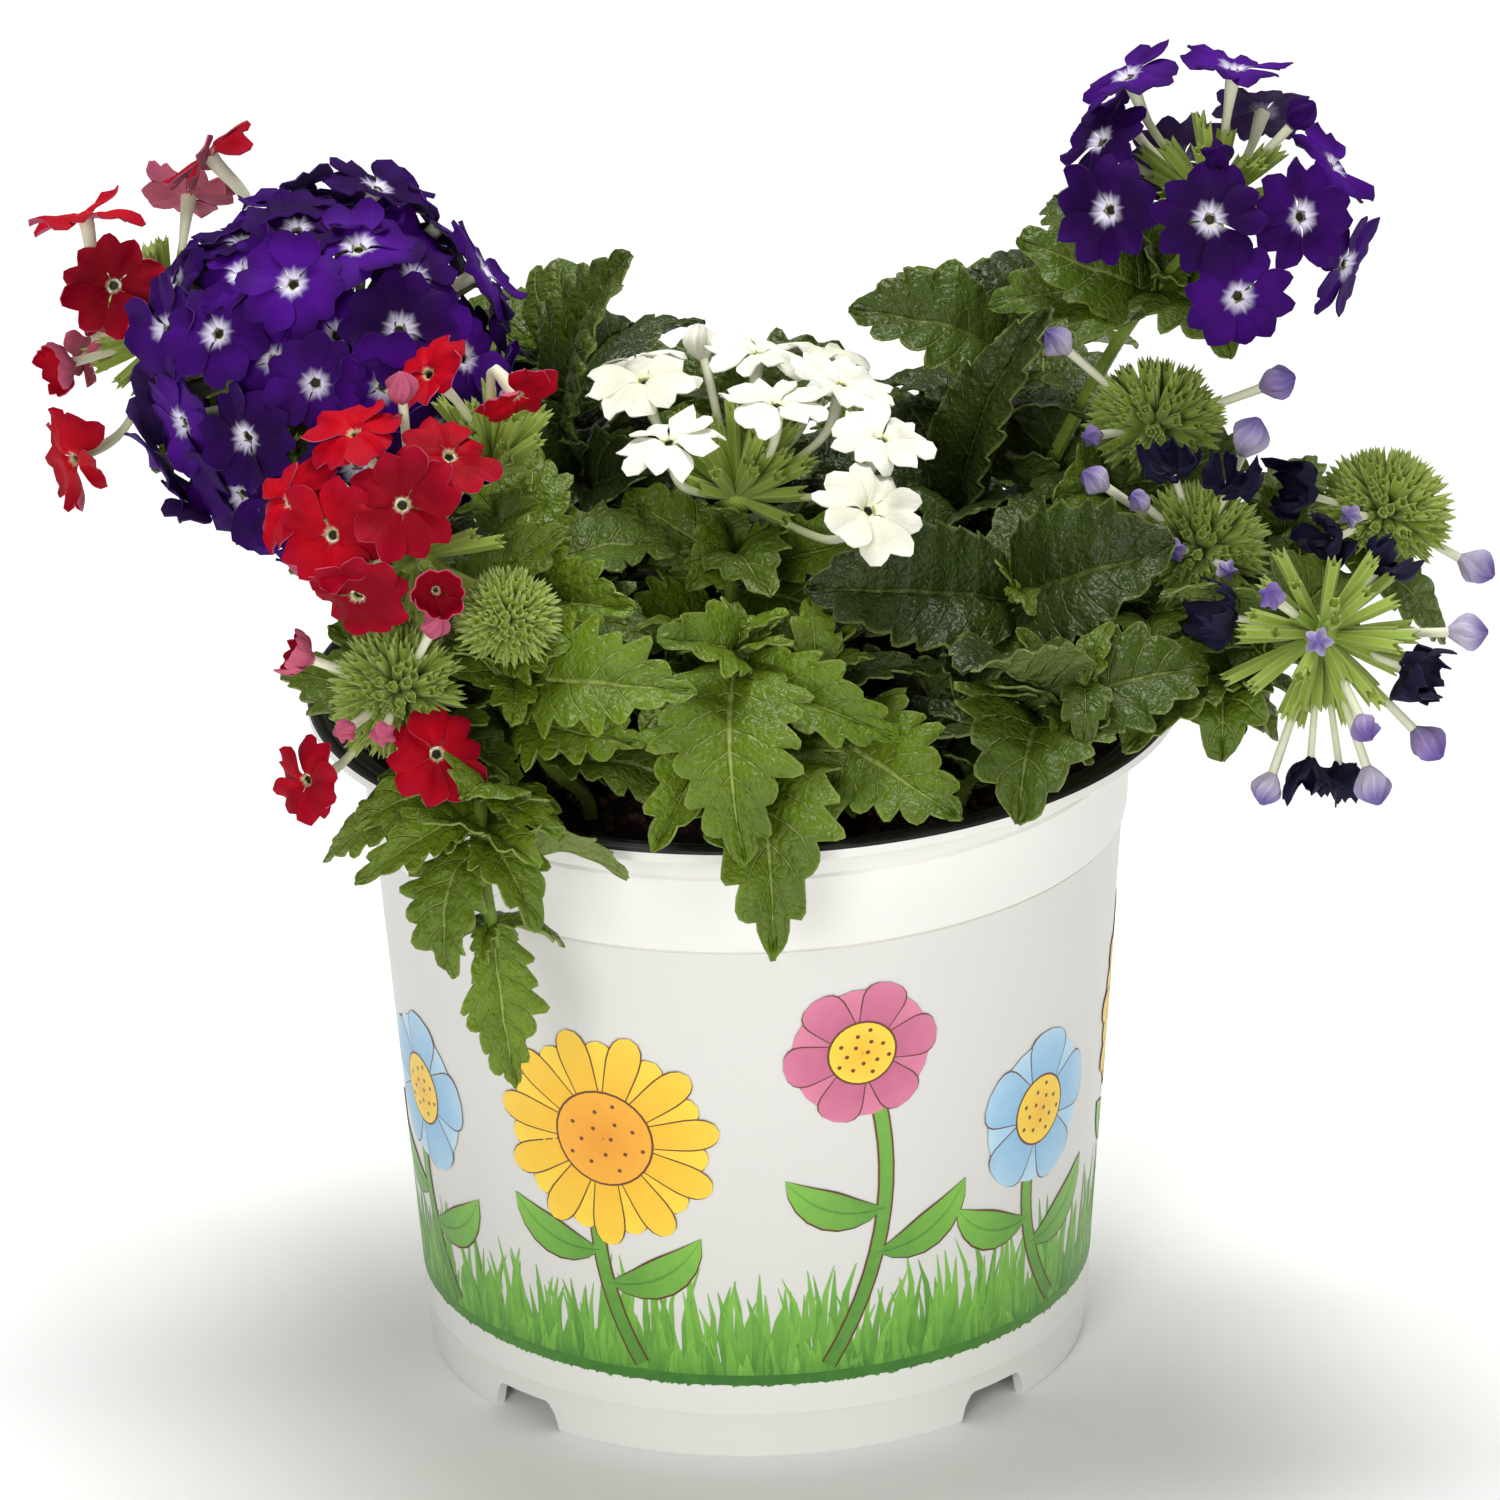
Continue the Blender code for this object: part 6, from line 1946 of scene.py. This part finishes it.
def soil_material(colours):
    """The finish of the compost's bed and of its crumbs, each crumb with a tone."""
    # Moist peat compost: dark, fibrous and matt, its crumbs of several browns.
    look = started("peat_compost_moist", Roughness=0.92, IOR=1.40)
    tree, point = look.tree, look.point
    coarse = add(tree, "TexNoise", point, 1 / (3 * MM), 6.0)
    fine = add(tree, "TexNoise", point, 1 / (0.7 * MM), 3.0)
    dry = add(tree, "MapRange", coarse, 0.35, 0.7, 0.0, 1.0, **SOFT)
    base = add(tree, "Mix", dry, colours.soil_dark, colours.soil_light, **RGB)
    share = add(tree, "Math", look.tone, 0.5, operation="MULTIPLY")
    base = add(tree, "Mix", share, base, colours.soil_bark, **RGB)
    return finished(look, base, add(tree, "Math", coarse, fine, operation="ADD"), 0.8)


def floor_material(colours):
    """The studio floor's finish."""
    # Studio paper: plain, pale and matt, with the faintest tooth.
    look = started("studio_paper", Roughness=0.9, IOR=1.45)
    tree = look.tree
    fibres = add(tree, "TexNoise", look.point, 1 / (2 * MM))
    share = add(tree, "Math", fibres, 0.02, operation="MULTIPLY")
    return finished(look, add(tree, "Mix", share, colours.floor, linear("#D8D8D8"), **RGB))


# What a user may change.


def hue(name, description, hex_colour):
    """A colour that a user may change."""
    return FloatVectorProperty(
        name=name,
        description=description,
        default=linear(hex_colour),
        size=4,
        min=0,
        max=1,
        subtype="COLOR",
    )


def span(name, description, millimetres):
    """A length that a user may change."""
    return FloatProperty(
        name=name, description=description, default=millimetres * MM, min=0, unit="LENGTH"
    )


class VerbenaSizes(bpy.types.PropertyGroup):
    """Sizes and counts of the plant's detail."""

    leaf_thickness: span("Leaf thickness", "Thickness of a leaf", 0.5)
    vein_depth: span("Vein depth", "Depth of the furrows over a leaf's side veins", 1.4)
    tooth_depth: FloatProperty(
        name="Tooth depth", description="Reach of a leaf's teeth, of its half width", default=0.34
    )
    petal_thickness: span("Petal thickness", "Thickness of a petal", 0.35)
    petal_ruffle: FloatProperty(
        name="Petal ruffle", description="Strength of the waves in a petal", default=1.0
    )
    hair_length: span("Hair length", "Length of the hairs on the stems", 1.3)
    hairs_a_mm: FloatProperty(
        name="Hairs", description="Hairs on each millimetre of stem", default=2.2
    )
    dome_calyces: IntProperty(
        name="Calyces", description="Calyces in each green dome", default=130, min=1
    )
    pot_sides: IntProperty(
        name="Pot sides", description="Facets round the pot", default=192, min=24
    )
    crumbs: IntProperty(name="Crumbs", description="Loose crumbs of compost", default=900, min=0)


class VerbenaColours(bpy.types.PropertyGroup):
    """Colours of the plant, its pot and the stage."""

    leaf_young: hue("Young leaf", "Upper side of a young leaf", "#6C8519")
    leaf_old: hue("Old leaf", "Upper side of an old leaf", "#28350F")
    leaf_olive: hue("Leaf patches", "Darker patches of a leaf", "#3A4F10")
    leaf_vein: hue("Leaf veins", "Veins and margin of a leaf", "#B4C46A")
    leaf_under: hue("Leaf underside", "Paler underside of a leaf", "#7F9150")
    stem_low: hue("Low stem", "Stem near the compost", "#5E6A26")
    stem_high: hue("High stem", "Stem near the flowers", "#86A03C")
    hair: hue("Hairs", "Hairs on the stems", "#E3E8C8")
    calyx_low: hue("Calyx foot", "Foot of a calyx", "#9DB048")
    calyx_high: hue("Calyx tip", "Tip of a calyx", "#93A83E")
    # Also the painted light on the calyces' ribs.
    tube_foot_and_rib_light: hue("Tube foot", "Flower tube near the calyx", "#B9C489")
    tube_high: hue("Tube top", "Flower tube near the petals", "#E6E5CB")
    # Painted shade inside the tubes' mouths, not a colour the tube has.
    tube_mouth_shade: hue("Tube mouth", "Inside of a flower tube's mouth", "#2C2A12")
    petal_purple: hue("Purple petals", "Petals of the purple flowers", "#4C0C86")
    petal_red: hue("Red petals", "Petals of the red flowers", "#C20018")
    petal_white: hue("White petals", "Petals of the white flowers", "#F0EFE4")
    petal_violet: hue("Violet buds", "Buds of the heads on the right", "#CCC4D6")
    petal_withered: hue("Withered petals", "Petals that have dried", "#15122E")
    pot_white: hue("Pot outside", "White outer layer of the pot", "#ECEBE6")
    pot_film: hue("Pot film", "Printed film round the wall", "#DDDCD7")
    pot_black: hue("Pot inside", "Black inner layer of the pot", "#1B1A1A")
    soil_dark: hue("Dark compost", "Moist compost", "#1E130D")
    soil_light: hue("Light compost", "Dry fibres in the compost", "#4A3226")
    soil_bark: hue("Bark", "Bits of bark in the compost", "#6E4B36")
    floor: hue("Floor", "Studio floor", "#FDFDFC")


# Each layer of the pot: name, colour, roughness and the colour of its wear.
POT_LAYERS = (
    ("polypropylene_white_moulded", "pot_white", 0.38, "#DEDCD6"),
    ("polypropylene_black_moulded", "pot_black", 0.45, "#3A3733"),
    ("polypropylene_film_printed", "pot_film", 0.34, "#D2D0CA"),
)
# The camera's degrees above level and of roll, and its distance (m), lens (mm) and aim (m).
CAMERA_ELEVATION, CAMERA_ROLL = 22.5, 1.2
CAMERA_DISTANCE, CAMERA_LENS = 2.5, 276.0
CAMERA_AIM = Vector((0.000766, 0, 0.135549))
# Each softbox: place (m), width (m) and power (W). The world fills in the shadows.
LIGHTS = {
    "key_light": ((-0.7, -2.3, 1.0), 0.8, 23),
    "fill_light": ((1.3, -2.1, 0.5), 1.0, 12),
    "top_light": ((0.0, 0.45, 2.4), 1.3, 54),
}
WORLD_LIGHT = 0.27
FLOOR_REACH, FLOOR_CORNERS = 6.0, ((-1, -1), (1, -1), (1, 1), (-1, 1))


class VERBENA_OT_pot(bpy.types.Operator):
    """Build the two-layer pot with its ridged rim and cut feet"""

    bl_idname = "verbena.pot"
    bl_label = "Pot"

    def execute(self, context):
        sizes, colours = context.scene.verbena_sizes, context.scene.verbena_colours
        looks = [
            pot_material(name, getattr(colours, key), roughness, wear)
            for name, key, roughness, wear in POT_LAYERS
        ]
        make_pot(sizes, looks)
        return {"FINISHED"}


class VERBENA_OT_print(bpy.types.Operator):
    """Print the pot's plain border of blades and round blossoms"""

    bl_idname = "verbena.print"
    bl_label = "Print"

    def execute(self, context):
        looks = [ink_material(*ink_colours) for ink_colours in INKS]
        piece("pot_print", print_form(), looks, "pot_plastic")
        return {"FINISHED"}


class VERBENA_OT_compost(bpy.types.Operator):
    """Fill the pot with crumbly compost"""

    bl_idname = "verbena.compost"
    bl_label = "Compost"

    def execute(self, context):
        sizes, colours = context.scene.verbena_sizes, context.scene.verbena_colours
        look = soil_material(colours)
        piece("compost_bed", soil_form(), [look], "compost", ["soil"], 180)
        piece("compost_crumbs", crumbs_form(sizes), [look], "compost")
        return {"FINISHED"}


class VERBENA_OT_stems(bpy.types.Operator):
    """Grow the leafy stems, each with its toothed leaves and young shoots"""

    bl_idname = "verbena.stems"
    bl_label = "Stems and leaves"

    def execute(self, context):
        sizes, colours = context.scene.verbena_sizes, context.scene.verbena_colours
        looks = [leaf_material(colours), stem_material(colours), hair_material(colours)]
        leaves, room = placed_leaves()
        for name, stem in STEMS.items():
            draw = random.Random(f"{name} leaves")
            form = Form()
            path = stem_path(stem)
            radii = stem_radii(path)
            stem_form(form, path, radii, stem.tone)
            stem_hairs(form, path, radii, draw, sizes)
            for owner, base, plan in leaves:
                if owner == name:
                    own = min(1.0, max(0.0, stem.tone + draw.uniform(-0.18, 0.18)))
                    leaf_form(form, base, plan, own, OPEN_GRID, draw, sizes)
            for base, plan in inner_leaves(room, name, path, draw):
                leaf_form(form, base, plan, min(1.0, stem.tone + 0.25), INNER_GRID, draw, sizes)
            for base, plan in young_leaves(room, name, stem, path, draw):
                leaf_form(form, base, plan, stem.tone * 0.6, YOUNG_GRID, draw, sizes)
            piece(f"{name}_foliage", form, looks, "leaf_green", [name])
        return {"FINISHED"}


class VERBENA_OT_blooms(bpy.types.Operator):
    """Open the flower heads: petals, tubes, calyces, buds and withered flowers"""

    bl_idname = "verbena.blooms"
    bl_label = "Flower heads"

    def execute(self, context):
        sizes, colours = context.scene.verbena_sizes, context.scene.verbena_colours
        petals = {
            slot: petal_material(plan, getattr(colours, slot), colours.petal_withered)
            for slot, plan in PETALS.items()
        }
        slots = {row["node"]: row["material_slot"] for row in frame["record"]["subparts"]}
        tube, calyx = tube_material(colours), calyx_material(colours)
        for name, head in HEADS.items():
            shown, greens, centre, axis, draw = head_forms(name, head, sizes)
            own_calyces(greens, head, axis, centre, draw, sizes)
            piece(f"{name}_calyces", greens, [tube, calyx], "calyx_green", [name])
            if shown.count:
                look = petals.get(slots[name], petals["petal_violet"])
                piece(f"{name}_petals", shown, [look], slots[name], [name])
        return {"FINISHED"}


class VERBENA_OT_stage(bpy.types.Operator):
    """Set the floor, the soft lights and the camera"""

    bl_idname = "verbena.stage"
    bl_label = "Stage"

    def execute(self, context):
        scene = context.scene
        mesh = bpy.data.meshes.new("studio_floor")
        corners = [(x * FLOOR_REACH, y * FLOOR_REACH, 0) for x, y in FLOOR_CORNERS]
        mesh.from_pydata(corners, [], [(0, 1, 2, 3)])
        mesh.materials.append(floor_material(scene.verbena_colours))
        floor = bpy.data.objects.new("studio_floor", mesh)
        scene.collection.objects.link(floor)
        scene.world = bpy.data.worlds.new("studio")
        scene.world.use_nodes = True
        background = scene.world.node_tree.nodes["Background"]
        background.inputs["Color"].default_value = (1, 1, 1, 1)
        background.inputs["Strength"].default_value = WORLD_LIGHT
        for name, (place, size, power) in LIGHTS.items():
            lamp = bpy.data.lights.new(name, "AREA")
            lamp.energy, lamp.size = power, size
            obj = bpy.data.objects.new(name, lamp)
            obj.location = place
            aim = CAMERA_AIM - Vector(place)
            obj.rotation_euler = aim.to_track_quat("-Z", "Y").to_euler()
            scene.collection.objects.link(obj)
        scene.view_settings.view_transform = "Standard"
        lens = bpy.data.cameras.new("photo_camera")
        lens.lens, lens.sensor_width = CAMERA_LENS, 36.0
        lens.clip_start, lens.clip_end = 0.1, 30.0
        camera = bpy.data.objects.new("photo_camera", lens)
        right, up, ahead = view_axes()
        roll = math.radians(CAMERA_ROLL)
        tilted = right * math.cos(roll) - up * math.sin(roll)
        upright = right * math.sin(roll) + up * math.cos(roll)
        axes = Matrix((tilted, upright, -ahead)).transposed()
        camera.matrix_world = Matrix.LocRotScale(
            CAMERA_AIM - ahead * CAMERA_DISTANCE, axes.to_quaternion(), None
        )
        scene.collection.objects.link(camera)
        scene.camera = camera
        return {"FINISHED"}


class VERBENA_PT_panel(bpy.types.Panel):
    """Lists the plant's pieces and what can be changed"""

    bl_label = "Potted verbena"
    bl_idname = "VERBENA_PT_panel"
    bl_space_type = "VIEW_3D"
    bl_region_type = "UI"
    bl_category = "Verbena"

    def draw(self, context):
        layout = self.layout
        for step in STEPS:
            layout.operator(step.bl_idname)
        for group in (context.scene.verbena_sizes, context.scene.verbena_colours):
            for key in group.bl_rna.properties.keys():
                if key not in ("rna_type", "name"):
                    layout.prop(group, key)


STEPS = (
    VERBENA_OT_pot,
    VERBENA_OT_print,
    VERBENA_OT_compost,
    VERBENA_OT_stems,
    VERBENA_OT_blooms,
    VERBENA_OT_stage,
)
CLASSES = (VerbenaSizes, VerbenaColours, *STEPS, VERBENA_PT_panel)


def register():
    """Registers the settings, operators and panel."""
    for each in CLASSES:
        bpy.utils.register_class(each)
    bpy.types.Scene.verbena_sizes = PointerProperty(type=VerbenaSizes)
    bpy.types.Scene.verbena_colours = PointerProperty(type=VerbenaColours)


def unregister():
    """Takes the settings, operators and panel away again."""
    del bpy.types.Scene.verbena_sizes
    del bpy.types.Scene.verbena_colours
    for each in reversed(CLASSES):
        bpy.utils.unregister_class(each)


def main():
    """Builds the plant, its pot and the stage."""
    register()
    for step in STEPS:
        group, action = step.bl_idname.split(".")
        getattr(getattr(bpy.ops, group), action)()
    bpy.context.view_layer.update()


if __name__ == "__main__":
    main()
